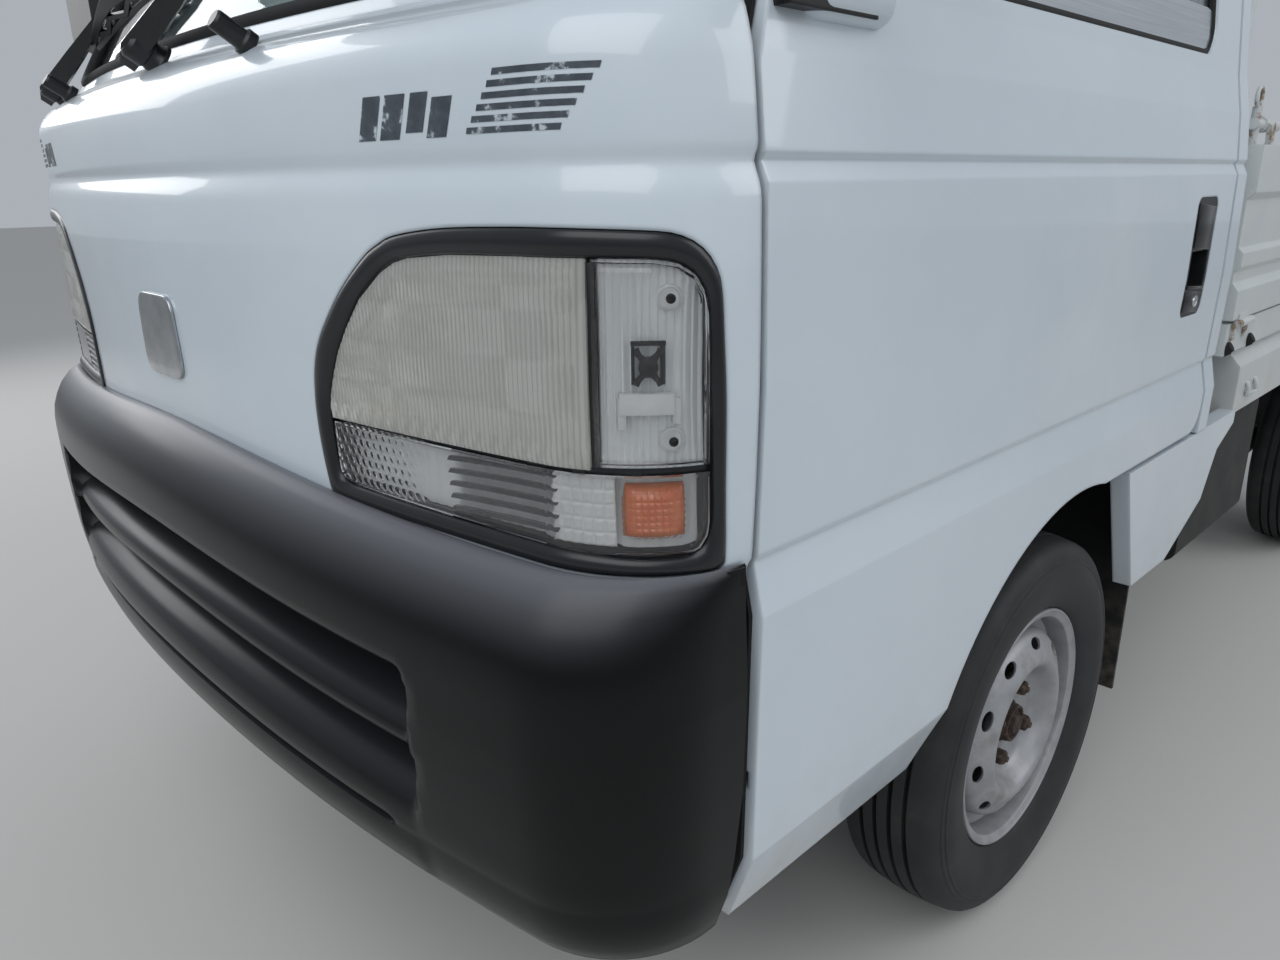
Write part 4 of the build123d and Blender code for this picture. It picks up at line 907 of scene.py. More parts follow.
shield = drum_at("bulb_shield_left", bulb.x, bulb.y, -62, [(9, 4), (9, 26), (13, 28), (15, 34), (14, 38), (9, 41)])
done(shield, 35)
nickel, shader = gloss("darkened_nickel_plate", 0.3, Metallic=0.9)
tint(nickel, shader, patches(nickel, 20, (0.4, "#4c4b48"), (0.7, "#6d6b66")))
shield.data.materials.append(nickel)
divider = joined(
    "lamp_divider_left", bar_at("divider", 627, 867, -8.2, (14, 140, 3)),
    *[bar_at("ledge", run, 794.5, -8.5, (50, 6, 4)) for run in (368, 414, 460, 506, 552, 598, 640)],
    *[bar_at("ledge", run, 794.5, -8.5, (26, 6, 4)) for run in (668, 686, 704)],
)
done(divider, 35)
divider.data.materials.append(bezel_black)
for piece in (headlamp, bowl, shield, divider):
    other = copy_to(piece, piece.name.replace("left", "right"), (0, 0, 0), True)
    for one in (piece, other):
        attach(one, "root")
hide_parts("headlamps")
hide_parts("headlamps")

# Brackets in the intake: two bent steel straps with bushes, painted black and bolted behind the slats,
# right of the middle.
bracket_parts = [
    bar_at("bracket", 180, 548, 8, (46, 88, 5), 0, 1.5), bar_at("bracket", 180, 588, 18, (46, 6, 24), 0, 1.5),
    bar_at("bracket", 160, 540, 14, (5, 70, 14), 0, 1.5), bar_at("bracket", 172, 516, 14, (14, 16, 12), 0, 2),
    bar_at("bracket", 350, 574, 10, (62, 30, 5), 0, 1.5), bar_at("bracket", 350, 586, 18, (62, 6, 18), 0, 1.5),
    bar_at("bracket", 330, 566, 16, (16, 12, 10), 0, 2),
]
brackets = joined("plate_brackets", *bracket_parts)
bracket_drop = 12
brackets.data.transform(Matrix.Translation((0, 0, -bracket_drop * mm)) @ Matrix.Scale(-1, 4, (1, 0, 0)))
brackets.data.flip_normals()
done(brackets, 35)
brackets.data.materials.append(bezel_black)
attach(brackets, "root")

# Corner lamps: a clear moulded acrylic box with a stepped rim and upright ribs, held by two screws,
# over a pale housing with a black bulb holder.
corner_lamp = (632.5, 715.8, 798.5, 941)
corner_screw_spots = ((687, 914), (689, 817))


def corner_ribs(run, height, edge):
    """A stepped rim round upright ribs."""
    if edge < 3.2:
        return 1.0 if edge > 0.5 else 0.0
    if edge < 6.5:
        return -0.9
    if edge < 8.5:
        return 0.6
    if min(math.dist(screw, (run, height)) for screw in corner_screw_spots) < 8.5:
        return 1.2
    return 0.5 * abs(math.sin(math.pi * run / 6))


corner_lens = lens_of("corner_lamp_lens_left", *corner_lamp, 84, 72, corner_ribs)
# clear acrylic, injection moulded and polished: sharp edges that catch the light
acrylic, shader = gloss("clear_acrylic", 0.04, IOR=1.49, Transmission_Weight=1.0)
tint(acrylic, shader, patches(acrylic, 60, (0.35, "#ffffff"), (0.8, "#fafbfa")))
grain(acrylic, shader, 9, 0.08)
corner_lens.data.materials.append(acrylic)
corner_screws = joined("corner_lamp_screws_left", *[
    drum_at("screw", run, height, -2.6, [(3.4, 0.8), (3, 1.9), (1.8, 2), (1.5, 0.6)], 24)
    for run, height in corner_screw_spots
])
corner_bosses = joined("corner_lamp_bosses_left", *[
    drum_at("boss", run, height, -24, [(8.5, 8), (8, 15), (6.8, 16), (6.2, 14.5)], 32)
    for run, height in corner_screw_spots
])
corner_holder = joined(
    "corner_bulb_holder_left",
    bar_at("holder", 672, 868, -10, (4.5, 30, 4), 36), bar_at("holder", 672, 868, -10, (4.5, 30, 4), -36),
    bar_at("holder", 672, 884, -11, (24, 3, 4)), bar_at("holder", 661, 870, -11, (2.5, 28, 4)),
    bar_at("holder", 683, 870, -11, (2.5, 28, 4)),
    drum_at("holder", 672, 868, -13, [(7, 3), (7, 5), (4, 6)]),
)
corner_block = joined(
    "corner_lamp_block_left", bar_at("block", 671, 843, -9, (38, 15, 7)), bar_at("block", 653, 836, -9, (6, 22, 6)),
    bar_at("block", 692, 838, -9, (6, 18, 6)),
)
white_plastic, shader = gloss("white_polypropylene", 0.5)
tint(white_plastic, shader, patches(white_plastic, 30, (0.4, "#eceeee"), (0.8, "#e0e3e4")))
black_fitting, shader = gloss("blackened_screw", 0.4, Metallic=0.6)
tint(black_fitting, shader, patches(black_fitting, 3, (0.4, "#26282a"), (0.8, "#4a4a48")))

# Turn lamps: one long clear acrylic lens under both others, scalloped at its inner end, over black
# louvres and a ribbed white block, with an amber bulb cap behind a domed grid at its outer end.
turn_lamp = (343.5, 716, 733, 793)


def turn_pattern(run, height, edge):
    """Scallops, then a plain stretch, then ribs, then the domed grid, inside a rim."""
    if edge < 2.4:
        return 0.8 if edge > 0.5 else 0.0
    if run < 465:
        fade = min(max((465 - run) / 30, 0), 1)
        return 1.5 * fade * abs(math.sin(math.pi * (run + height * 0.5) / 8.6) * math.sin(math.pi * height / 8.6))
    if 590 < run < 645:
        return 0.9 * max(abs(math.sin(math.pi * run / 9)), abs(math.sin(math.pi * height / 10)))
    across, up = (run - 676) / 28, (height - 763) / 24
    if abs(across) < 1 and abs(up) < 1:
        dome = (1 - across ** 4) * (1 - up ** 4)
        return 0.3 + 1.6 * dome + 0.7 * dome * abs(math.sin(math.pi * run / 5) * math.sin(math.pi * height / 5))
    return 0.25 * abs(math.sin(math.pi * run / 5)) if run > 645 else 0.0


turn_lens = lens_of("turn_lamp_lens_left", *turn_lamp, 300, 44, turn_pattern)
turn_lens.data.materials.append(acrylic)


def on_cap(column, row):
    """A point of the amber bulb cap: a domed pad with a grid of small squares."""
    across, up = column / 30 - 1, row / 24 - 1
    dome = max(1 - across ** 4, 0) * max(1 - up ** 4, 0)
    squares = min(abs(math.sin(math.pi * (column + 0.5) / 6)), abs(math.sin(math.pi * (row + 0.5) / 6)))
    return on_nose(676 + 25 * across, 762.5 + 20 * up, -19 + 11 * dome ** 0.5 + 1.6 * dome * min(squares * 2, 1))


cap = sheet_of("turn_bulb_cap_left", 60, 48, on_cap)
turn_out(cap, (0.6, -1, 0))
modify(cap, "SOLIDIFY", thickness=0.0015, offset=-1)
done(cap, 30)
amber, shader = gloss("amber_polycarbonate", 0.2, IOR=1.58, coat=0.3)
tint(amber, shader, patches(amber, 15, (0.35, "#e0662a"), (0.75, "#f08a4a")))
louvres = joined("turn_lamp_louvres_left", *[
    sheet_of("louvre", 24, 3, lambda column, row: on_nose(
        478 + 112 * column / 24 + 6 * math.sin(math.pi * row / 3), level + (0, 4, 6.4, 4)[row]
        - 4 * (1 - column / 24) ** 2, (-20, -10, -12, -20)[row]))
    for level in (739, 749.5, 760, 770.5, 781)
])
modify(louvres, "SOLIDIFY", thickness=0.0008, offset=0)
ribbed = sheet_of("turn_lamp_ribs_left", 60, 60, lambda column, row: on_nose(
    591 + 54 * column / 60, 736 + 55 * row / 60, -13 + 3.2 * min(
        abs(math.sin(math.pi * (column + 0.5) / 10)), abs(math.sin(math.pi * (row + 0.5) / 12)), 0.6)))
turn_out(ribbed, (0.4, -1, 0))
modify(ribbed, "SOLIDIFY", thickness=0.0015, offset=-1)
lamp_back = sheet_of("lamp_housing_left", 124, 12, lambda column, row: on_nose(
    344 + 372 * column / 124, 735 + 58 * row / 12,
    -22 - 3 * math.sin(math.pi * row / 12) + 1.2 * abs(math.sin(math.pi * column / 4))))
corner_back = sheet_of("corner_housing_left", 82, 16, lambda column, row: on_nose(
    633 + 82 * column / 82, 796 + 143 * row / 16,
    -14 - 3 * math.sin(math.pi * row / 16) + 2.6 * abs(math.sin(math.pi * column / 6))))
lamp_back = joined("lamp_housing_left", lamp_back, corner_back)
turn_out(lamp_back, (0.4, -1, 0))
done(lamp_back, 50)
housing_grey, shader = gloss("pale_lamp_housing", 0.3)
tint(housing_grey, shader, patches(housing_grey, 40, (0.35, "#f7fafb"), (0.75, "#eceff1")))
smoke, shader = gloss("smoked_chrome", 0.25, Metallic=0.7)
tint(smoke, shader, patches(smoke, 40, (0.35, "#3a3b3e"), (0.75, "#5a5b5e")))
for piece, material, slot in (
        (corner_lens, None, "lamp_clear"), (corner_screws, black_fitting, "black_plastic"),
        (corner_holder, black_fitting, "black_plastic"), (corner_bosses, white_plastic, "lamp_clear"),
        (corner_block, white_plastic, "lamp_clear"),
        (turn_lens, None, "lamp_clear"), (cap, amber, None), (louvres, smoke, "black_plastic"),
        (ribbed, white_plastic, "lamp_clear"), (lamp_back, housing_grey, "lamp_clear")):
    if material:
        done(piece, 40)
        piece.data.materials.append(material)
    other = copy_to(piece, piece.name.replace("left", "right"), (0, 0, 0), True)
    for one in (piece, other):
        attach(one, "root")
for name, node in (("corner_lamp_lens_", "corner_lamps"), ("turn_lamp_lens_", "turn_lamps")):
    for hand in ("left", "right"):
        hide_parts(node)

# Door seals: black EPDM rubber strips pushed on to the body's flanges round each door.
# They show as a dark line in the gap between the panels.
# height of the cab's side, how far it lies inside the widest place
cab_sides = [
    (372, 28), (444, 3), (669, 0), (713, 10), (719, 6), (850, 3), (986, 6), (1000, 13), (1005, 9), (1068, 16),
    (1092, 21), (1118, 26), (1690, 88), (1718, 102),
]
seal_line = [
    (225.1, 384), (225.1, 444), (225.1, 669), (225.1, 713), (225.1, 719), (225.1, 850), (225.1, 986), (225.1, 1000),
    (225.1, 1005), (225.1, 1040), (226, 1062), (231, 1080), (249.5, 1120), (330, 1256), (450, 1460), (556, 1639),
    (566, 1653), (582, 1662.3), (800, 1662.6), (1285, 1662.6), (1304, 1656), (1315.4, 1638), (1315.4, 1300),
    (1315.4, 1118), (1315.4, 1068), (1315.4, 1005), (1315.4, 1000), (1315.4, 986), (1315.4, 850), (1315.4, 719),
    (1315.4, 713), (1315.4, 669), (1315.4, 612),
]


def half_width(height):
    """The cab's half width at a height, in mm."""
    return body_half - between(cab_sides, height)[0]


def on_seal(column, row):
    """A point of the seal's strip, which lies back in the gap."""
    station, height = seal_line[column]
    return Vector((half_width(height) - (9, 24)[row], front + station, height)) * mm


seal = sheet_of("door_seal_left", len(seal_line) - 1, 1, on_seal)
modify(seal, "SOLIDIFY", thickness=0.0038, offset=0)
done(seal, 40)
# extruded EPDM: matt and very dark
seal_black, shader = gloss("epdm_rubber", 0.8)
tint(seal_black, shader, patches(seal_black, 30, (0.4, "#0c0d0e"), (0.8, "#161718")))
grain(seal_black, shader, 1, 0.1)
seal.data.materials.append(seal_black)
for piece in (seal, copy_to(seal, "door_seal_right", (0, 0, 0), True)):
    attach(piece, "root")

# Window-sill plates: brushed stainless sheet, pressed with a raised face and a shallow finger scallop,
# glued along the bottom of each door's window.
sill_plate = [
    (352, 1138), (420, 1137), (700, 1137), (1000, 1137), (1150, 1137), (1172, 1139), (1190, 1147), (1200, 1160),
    (1204, 1176), (1204, 1184), (1200, 1190), (1190, 1193), (1100, 1193), (900, 1192), (760, 1192), (735, 1191),
    (722, 1187), (708, 1182), (640, 1182), (628, 1185), (616, 1190), (600, 1192), (500, 1192), (400, 1192),
    (380, 1190), (370, 1184),
]


def plate_of(name, outline, step, place, corners_round=True):
    """A sheet filling an outline of (across, up) in mm, cut into cells and moved point by point to its place."""
    loop = smooth_loop(outline, 96) if corners_round else [Vector(point) for point in outline]
    bpy.ops.object.select_all(action="DESELECT")
    bpy.ops.mesh.primitive_circle_add(vertices=len(loop), fill_type="NGON")
    plate = bpy.context.object
    plate.name = plate.data.name = name
    for vertex, point in zip(plate.data.vertices, loop):
        vertex.co = (point.x * mm, 0, point.y * mm)
    edit(plate)
    for axis, normal in ((0, (1, 0, 0)), (1, (0, 0, 1))):
        first = min(point[axis] for point in loop)
        last = max(point[axis] for point in loop)
        for k in range(1, math.ceil((last - first) / step)):
            value = (first + k * step) * mm
            bpy.ops.mesh.select_all(action="SELECT")
            bpy.ops.mesh.bisect(plane_co=(value, 0, 0) if axis == 0 else (0, 0, value), plane_no=normal)
    bpy.ops.object.mode_set(mode="OBJECT")
    if not plate.data.uv_layers:
        plate.data.uv_layers.new(name="UVMap")
    for corner_point in plate.data.loops:
        spot = plate.data.vertices[corner_point.vertex_index].co
        plate.data.uv_layers[0].data[corner_point.index].uv = (spot.x, spot.z)
    for vertex in plate.data.vertices:
        vertex.co = place(vertex.co.x / mm, vertex.co.z / mm)
    return plate


plate = plate_of("sill_plate_left", sill_plate, 14,
                 lambda station, height: Vector((half_width(height) - 6, front + station, height)) * mm)
turn_out(plate, (1, 0, 0))
modify(plate, "SOLIDIFY", thickness=0.0014, offset=-1)
modify(plate, "BEVEL", width=0.0006, segments=2, limit_method="ANGLE")
done(plate, 40)
# grade 430 stainless, brushed lengthways: the light runs in fine streaks
stainless, shader = gloss("brushed_stainless_steel", 0.3, Metallic=1.0)
tint(stainless, shader, patches(stainless, 3, (0.3, "#b9bec2"), (0.7, "#d3d7da"), stretch=(1, 0.012, 1)))
grain(stainless, shader, 1, 0.02)
plate.data.materials.append(stainless)
for piece, door in ((plate, "door_left"), (copy_to(plate, "sill_plate_right", (0, 0, 0), True), "door_right")):
    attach(piece, door)

# Windscreen and its rubber: a laminated screen set in a thick black gasket above the crease.
screen_corners = [(-574, 1136), (574, 1136), (520, 1665), (-520, 1665)]
screen_foot, screen_setback = 1118, 62
screen_slope = 336 / 572


def rounded_loop(corners, radius, step=40):
    """A closed line of straight runs with rounded corners, cut into steps, in mm."""
    loop = []
    for i in range(len(corners)):
        before, corner, after = (Vector(corners[(i + k) % len(corners)]) for k in (-1, 0, 1))
        start = corner + (before - corner).normalized() * radius
        end = corner + (after - corner).normalized() * radius
        far = after + (corner - after).normalized() * radius
        loop += [start.lerp(corner, k / 5).lerp(corner.lerp(end, k / 5), k / 5) for k in range(6)]
        runs = max(1, int((far - end).length / step))
        loop += [end.lerp(far, k / runs) for k in range(1, runs)]
    return loop


def on_screen(x, height, out=0.0):
    """A point of the windscreen's sloping plane, so far in front of it."""
    setback = screen_setback + (height - screen_foot) * screen_slope
    y = nose_y + setback + nose_bow - math.sqrt(nose_bow ** 2 - x ** 2)
    return Vector((x, y - 0.86 * out, height + 0.5 * out)) * mm


def rod(name, points, thick, widths=None, closed=False, flat=False):
    """A round or square rod of a radius in mm through points, narrower or wider at each by its share."""
    curve = bpy.data.curves.new(name, "CURVE")
    curve.dimensions = "3D"
    spline = curve.splines.new("POLY")
    spline.points.add(len(points) - 1)
    for spot, point, width in zip(spline.points, points, widths or [1] * len(points)):
        spot.co = (*point, 1)
        spot.radius = width
    spline.use_cyclic_u = closed
    curve.bevel_depth = thick * mm
    curve.bevel_resolution = 0 if flat else 3
    curve.use_fill_caps = not closed
    piece = bpy.data.objects.new(name, curve)
    scene.collection.objects.link(piece)
    pick(piece)
    bpy.ops.object.convert(target="MESH")
    close_seams(bpy.context.object)
    return bpy.context.object


gasket = rod("windscreen_rubber", [on_screen(*point, -3) for point in rounded_loop(screen_corners, 46)], 8.5,
             closed=True)
done(gasket, 60)
gasket.data.materials.append(seal_black)
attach(gasket, "root")

# Wipers and washers: black-painted steel arms on moulded pivot caps, with sprung blade frames lying on the
# screen, and two stubby rubber-capped washer nozzles standing out of the crease.
cowl_axis = Vector((0, -0.83, 0.55)).normalized()


def on_cowl(x, height):
    """The frame of a place on the crease under the screen, its Z axis along the fittings'."""
    setback, _ = between([row[:1] + row[2:] for row in nose_levels], height)
    y = nose_y + setback + nose_bow - math.sqrt(nose_bow ** 2 - x ** 2)
    return Matrix.Translation(Vector((x, y, height)) * mm) @ cowl_axis.to_track_quat("Z", "X").to_matrix().to_4x4()


nozzles = joined("washer_nozzles", *[
    drum_on("nozzle", on_cowl(x, 1103), [(11.5, 3), (11.5, 8), (9, 10), (9, 34), (7.5, 36)])
    for x in (224, -369)
])
wiper_pieces = []
for x, blade_from, blade_to in ((-20, 90, 470), (-540, -480, -120)):
    foot = on_cowl(x, 1112)
    wiper_pieces.append(drum_on("pivot", foot, [(18, 4), (16, 6), (14, 14), (16, 16), (16, 33), (12, 37)]))
    knuckle = foot.translation + cowl_axis * 26 * mm
    arm = [knuckle + Vector(step) * mm for step in ((-22, -2, -14), (0, 0, 0), (46, 26, 42), (95, 53, 88))]
    wiper_pieces.append(rod("arm", arm, 15, [0.7, 1.15, 0.95, 0.55], flat=True))
    middle = (blade_from + blade_to) / 2
    hold = on_screen(middle, 1232, 30)
    wiper_pieces.append(rod("link", [arm[-2], arm[-1], hold], 4))
    spots = [blade_from + (blade_to - blade_from) * k / 8 for k in range(9)]
    rise = [1176 + 40 * (spot - blade_from) / (blade_to - blade_from) for spot in spots]
    frame_out = [10, 17, 22, 27, 31, 27, 22, 17, 10]
    wiper_pieces.append(rod("frame", [on_screen(*spot) for spot in zip(spots, rise, frame_out)], 7,
                            [0.5, 0.8, 1, 1.2, 1.5, 1.2, 1, 0.8, 0.5], flat=True))
    wiper_pieces.append(rod("yoke", [on_screen(spots[k], rise[k], (8, 18)[k % 2]) for k in range(1, 8)], 4.5,
                            flat=True))
    wiper_pieces.append(rod("strip", [on_screen(*spot, 5) for spot in zip(spots, rise)], 4.5, flat=True))
wiper_set = joined("wiper_arms", *wiper_pieces)
wiper_black, shader = gloss("black_painted_wiper_steel", 0.34)
tint(wiper_black, shader, patches(wiper_black, 30, (0.4, "#111315"), (0.7, "#1b1d1f"), (0.85, "#2b2c2d")))
grain(wiper_black, shader, 2, 0.05, edge=1.5)
for piece in (nozzles, wiper_set):
    piece.data.materials.append(wiper_black)
    done(piece, 35)
    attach(piece, "root")
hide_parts("wipers")

# Front badge and decals: a blank satin-chrome plate in the middle of the nose, and worn grey stripe
# decals above the lamps, the same on both sides.
badge_corners = [(-55, 791), (55, 791), (50, 880), (-50, 880)]


def badge_spot(x, height):
    """A place on the nose a little proud of the paint, left or right of the middle."""
    spot = on_nose(abs(x), height, 3.5)
    spot.x *= -1 if x < 0 else 1
    return spot


badge = plate_of("front_badge_plate", rounded_loop(badge_corners, 22, 12), 12, badge_spot, False)
turn_out(badge, (0, -1, 0))
modify(badge, "SOLIDIFY", thickness=0.0032, offset=-1)
modify(badge, "BEVEL", width=0.0014, segments=3, limit_method="ANGLE")
done(badge, 40)
chrome, shader = gloss("satin_chrome_plating", 0.16, Metallic=1.0)
tint(chrome, shader, patches(chrome, 25, (0.35, "#c3c6c9"), (0.8, "#a6a9ac")))
grain(chrome, shader, 2, 0.03)
badge.data.materials.append(chrome)
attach(badge, "root")
decal_bars = [(417, 437, 1018, 1048), (442, 464, 1018, 1048), (470, 488, 1022, 1048), (493, 513, 1018, 1044)]
decal_bars += [(532 + 3 * k, 612 + 3 * k, 1019 + 7 * k, 1023 + 7 * k) for k in range(6)]
decals = joined("nose_decals_left", *[
    sheet_of("decal", 6, 3, lambda column, row: on_nose(
        left + (right - left) * column / 6 + (low + (high - low) * row / 3 - 1018) * 0.35,
        low + (high - low) * row / 3, 0.35))
    for left, right, low, high in decal_bars
])
turn_out(decals, (0.3, -1, 0))
done(decals, 40)
decal_grey, shader = gloss("worn_vinyl_decal", 0.4)
tint(decal_grey, shader, patches(decal_grey, 14, (0.4, "#3b424b"), (0.58, "#4a525b"), (0.64, "#b9c3cb"), detail=8))
decals.data.materials.append(decal_grey)
for piece in (decals, copy_to(decals, "nose_decals_right", (0, 0, 0), True)):
    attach(piece, "root")

# Mirror bases: a pressed steel blister in the body's white, screwed on at the window's front corner,
# which the mirror's stay stands on.
mirror_body = (668, front + 330, 1112)
bpy.ops.object.select_all(action="DESELECT")
bpy.ops.mesh.primitive_cube_add(size=1)
base = bpy.context.object
base.name = base.data.name = "mirror_base_left"
for vertex in base.data.vertices:
    spread = 1.0 if vertex.co.x < 0 else 0.72
    vertex.co = (
        (mirror_body[0] + vertex.co.x * 44) * mm,
        (mirror_body[1] + vertex.co.y * 128 * spread) * mm,
        (mirror_body[2] + vertex.co.z * 46 * (1.1 if vertex.co.x < 0 else 0.8)) * mm,
    )
modify(base, "BEVEL", width=0.014, segments=5)
done(base, 60)
base.data.materials.append(cab_white)
for piece, door in ((base, "door_left"), (copy_to(base, "mirror_base_right", (0, 0, 0), True), "door_right")):
    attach(piece, door)

# Door windows' rubber, and the handles' moving parts: a black lever over the finger hollow, a glossy lip
# under it and a steel lock barrel.
window_corners = [(318, 1137), (609, 1628), (1206, 1628), (1206, 1137)]
window_rubber = rod("window_rubber_left", [
    Vector((half_width(height) - 10, front + station, height)) * mm
    for station, height in rounded_loop(window_corners, 34)
], 7, closed=True)
window_rubber.data.materials.append(seal_black)


def beside(station, height, out=0.0, lean=0.0):
    """The frame of a place on the cab's left side: back along it, up and outwards, leaning by degrees."""
    place = Vector((half_width(height) + out, front + station, height)) * mm
    turned = Matrix(((0, 0, 1), (1, 0, 0), (0, 1, 0))).to_4x4()
    return Matrix.Translation(place) @ turned @ Matrix.Rotation(math.radians(-lean), 4, "Z")


# the handle leans back with the door's rear edge, by this many degrees
handle_lean = 4.3
lever = bar_on("lever", beside(1196, 917, -1.5, handle_lean), (72, 60, 6), 2.4)
lip = bar_on("lip", beside(1190, 836, -1.5, handle_lean), (72, 5, 6), 2)
lock_plate = bar_on("lock_plate", beside(1188, 816, -2, handle_lean), (70, 30, 4), 1.6)
handle_parts = joined("handle_lever_left", lever, lip, lock_plate)
lock_barrel = drum_on("lock_barrel_left", beside(1200, 816, 0), [(8.5, 1), (8, 1.8), (6.4, 2), (6, 1.2)])
handle_gloss, shader = gloss("gloss_black_nylon", 0.2, IOR=1.36)
tint(handle_gloss, shader, patches(handle_gloss, 30, (0.4, "#0a0b0d"), (0.8, "#131518")))
grain(handle_gloss, shader, 1.5, 0.03, edge=1.5)
handle_parts.data.materials.append(handle_gloss)
lock_barrel.data.materials.append(stainless)
for piece, slot in ((window_rubber, "rubber"), (handle_parts, "black_plastic"), (lock_barrel, "hinge_steel")):
    done(piece, 45)
    other = copy_to(piece, piece.name.replace("left", "right"), (0, 0, 0), True)
    for one, door in ((piece, "door_left"), (other, "door_right")):
        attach(one, door)

# Glass: toughened side and rear panes held in rubber, and a laminated windscreen glued into its gasket,
# all tinted slightly green.
pane, shader = gloss("tinted_safety_glass", 0.02, IOR=1.5, Transmission_Weight=1.0)
tint(pane, shader, patches(pane, 160, (0.35, "#dde7e5"), (0.75, "#cfd9d8")))
finish(["cab_glass", "door_glass_left", "door_glass_right"], pane)

# Bed: gates, floor and rails folded and welded from sheet steel, in an off-white enamel that is chalkier
# than the cab's, with road dust settled toward the rails.
bed_white, shader = gloss("off_white_bed_enamel", 0.42, coat=0.25, coat_roughness=0.2)
tone = patches(bed_white, 260, (0.35, "#c9cdcc"), (0.55, "#c2c7c8"), (0.8, "#d0d2cf"))
tint(bed_white, shader, settled(bed_white, tone, "#aaa69b", 0.74, 0.4, 90))
grain(bed_white, shader, 3, 0.12, edge=4)
finish(["bed_deck", "bed_headboard", "bed_side_rails", "rear_beam", "side_gate_left", "side_gate_right",
        "tail_gate"], bed_white)

# Gate hinges: pressed steel lugs on round pins, bolted to rail and gate, once painted with the bed,
# now rusted at the pins.
hinge_rust, shader = gloss("rusted_painted_steel", 0.7)
tint(hinge_rust, shader, patches(hinge_rust, 22, (0.5, "#bfc3c3"), (0.58, "#8f7a66"), (0.7, "#4f3626")))
grain(hinge_rust, shader, 2, 0.2)
finish(["gate_hinges"], hinge_rust)

# Bed fittings: rope hooks of bent rod along the lower rails, rubber stops where the gates close on the rail,
# and at each front corner a white tube with a rusty latch lever and a ring.
hook_stations = (1600, 1900, 2240, 2560, 2900, 3140)
stop_stations = (1445, 1570, 2420, 3180)
stop_lean = 58
hooks, stops_made = [], []
for station in hook_stations:
    hook = [(686, 0, 640), (697, 0, 636), (701, 0, 626), (699, 0, 616), (701, 50, 616), (701, 50, 626),
            (697, 50, 636), (686, 50, 640)]
    hooks.append(rod("hook", [Vector((x - 9, front + station + y, z)) * mm for x, y, z in hook], 4))
for station in stop_stations:
    place = Matrix.Translation(Vector((676, front + station, 712)) * mm)
    leaning = place @ Matrix.Rotation(math.radians(stop_lean), 4, "Y")
    stops_made.append(drum_on("stop", leaning, [(11, 3), (11, 10), (9, 12), (8.4, 16)]))
rail_hooks = joined("rope_hooks_left", *hooks)
gate_stops = joined("gate_stops_left", *stops_made)
tube = rod("latch_tube_left", [Vector((668, front + station, 1058)) * mm for station in (1429, 1445, 1560)], 9)
catch = joined(
    "latch_lever_left",
    rod("lever", [Vector(point) * mm for point in (
        (674, front + 1470, 1062), (682, front + 1474, 1056), (683, front + 1476, 1034), (680, front + 1477, 1020))],
        6, [1, 1.2, 1, 0.8], flat=True),
    rod("collar", [Vector((668, front + station, 1058)) * mm for station in (1464, 1486)], 12),
    rod("ring", [Vector((668, front + 1440 + 14 * math.sin(k * math.tau / 16),
                         1096 + 14 * math.cos(k * math.tau / 16))) * mm for k in range(16)], 3, closed=True),
    rod("post", [Vector((668, front + 1440, z)) * mm for z in (1004, 1060, 1083)], 7),
)
for piece, material, slot in ((rail_hooks, bed_white, "bed_paint"), (gate_stops, seal_black, "rubber"),
                              (tube, bed_white, "bed_paint"), (catch, hinge_rust, "hinge_steel")):
    piece.data.materials.append(material)
    done(piece, 45)
    for one in (piece, copy_to(piece, piece.name.replace("left", "right"), (0, 0, 0), True)):
        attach(one, "root")

# Running gear: welded frame, forged axle and arms, and pressed tank, under black chassis paint, filmed
# with dust and rusty in patches.
chassis_black, shader = gloss("black_chassis_paint", 0.65)
tint(chassis_black, shader, patches(chassis_black, 70, (0.4, "#141414"), (0.6, "#22211f"), (0.78, "#3c342c")))
grain(chassis_black, shader, 2.5, 0.2, edge=2)
finish(["chassis_frame", "door_hinges", "front_suspension", "fuel_tank", "leaf_springs", "prop_shaft",
        "rear_axle"], chassis_black)

# Engine block and exhaust: sand-cast iron hung under the cab floor, and a silencer rolled from
# aluminised steel that has gone brown with heat.
cast_grey, shader = gloss("sand_cast_iron", 0.75, Metallic=0.5)
tint(cast_grey, shader, patches(cast_grey, 40, (0.35, "#4a4845"), (0.6, "#5d5a55"), (0.8, "#3a322b")))
grain(cast_grey, shader, 2, 0.4, edge=3)
finish(["engine"], cast_grey)
silencer, shader = gloss("aluminised_exhaust_steel", 0.55, Metallic=0.8)
tint(silencer, shader, patches(silencer, 50, (0.35, "#7c756c"), (0.6, "#8f8a82"), (0.8, "#5a4334")))
grain(silencer, shader, 2, 0.2, edge=2)
finish(["exhaust"], silencer)

# Mud flaps: black rubber sheet, cut square and bolted on behind the wheels, smooth when new and now
# dusty at the foot.
flap, shader = gloss("rubber_sheet", 0.75)
tone = patches(flap, 50, (0.4, "#131415"), (0.8, "#1f2021"))
tint(flap, shader, settled(flap, tone, "#5c564c", 0.42, 0.18, 20))
grain(flap, shader, 1.5, 0.1, edge=2)
finish(["mud_flaps"], flap)

# Cabin plastics: dashboard, column cover and wheel moulded in grey polypropylene with a leather-like
# grain, dull all over.
cabin_grey, shader = gloss("grained_grey_polypropylene", 0.55)
tint(cabin_grey, shader, patches(cabin_grey, 80, (0.4, "#4c4f51"), (0.8, "#565a5c")))
grain(cabin_grey, shader, 1.2, 0.1, edge=4)
finish(["dashboard", "steering_column", "steering_wheel"], cabin_grey)

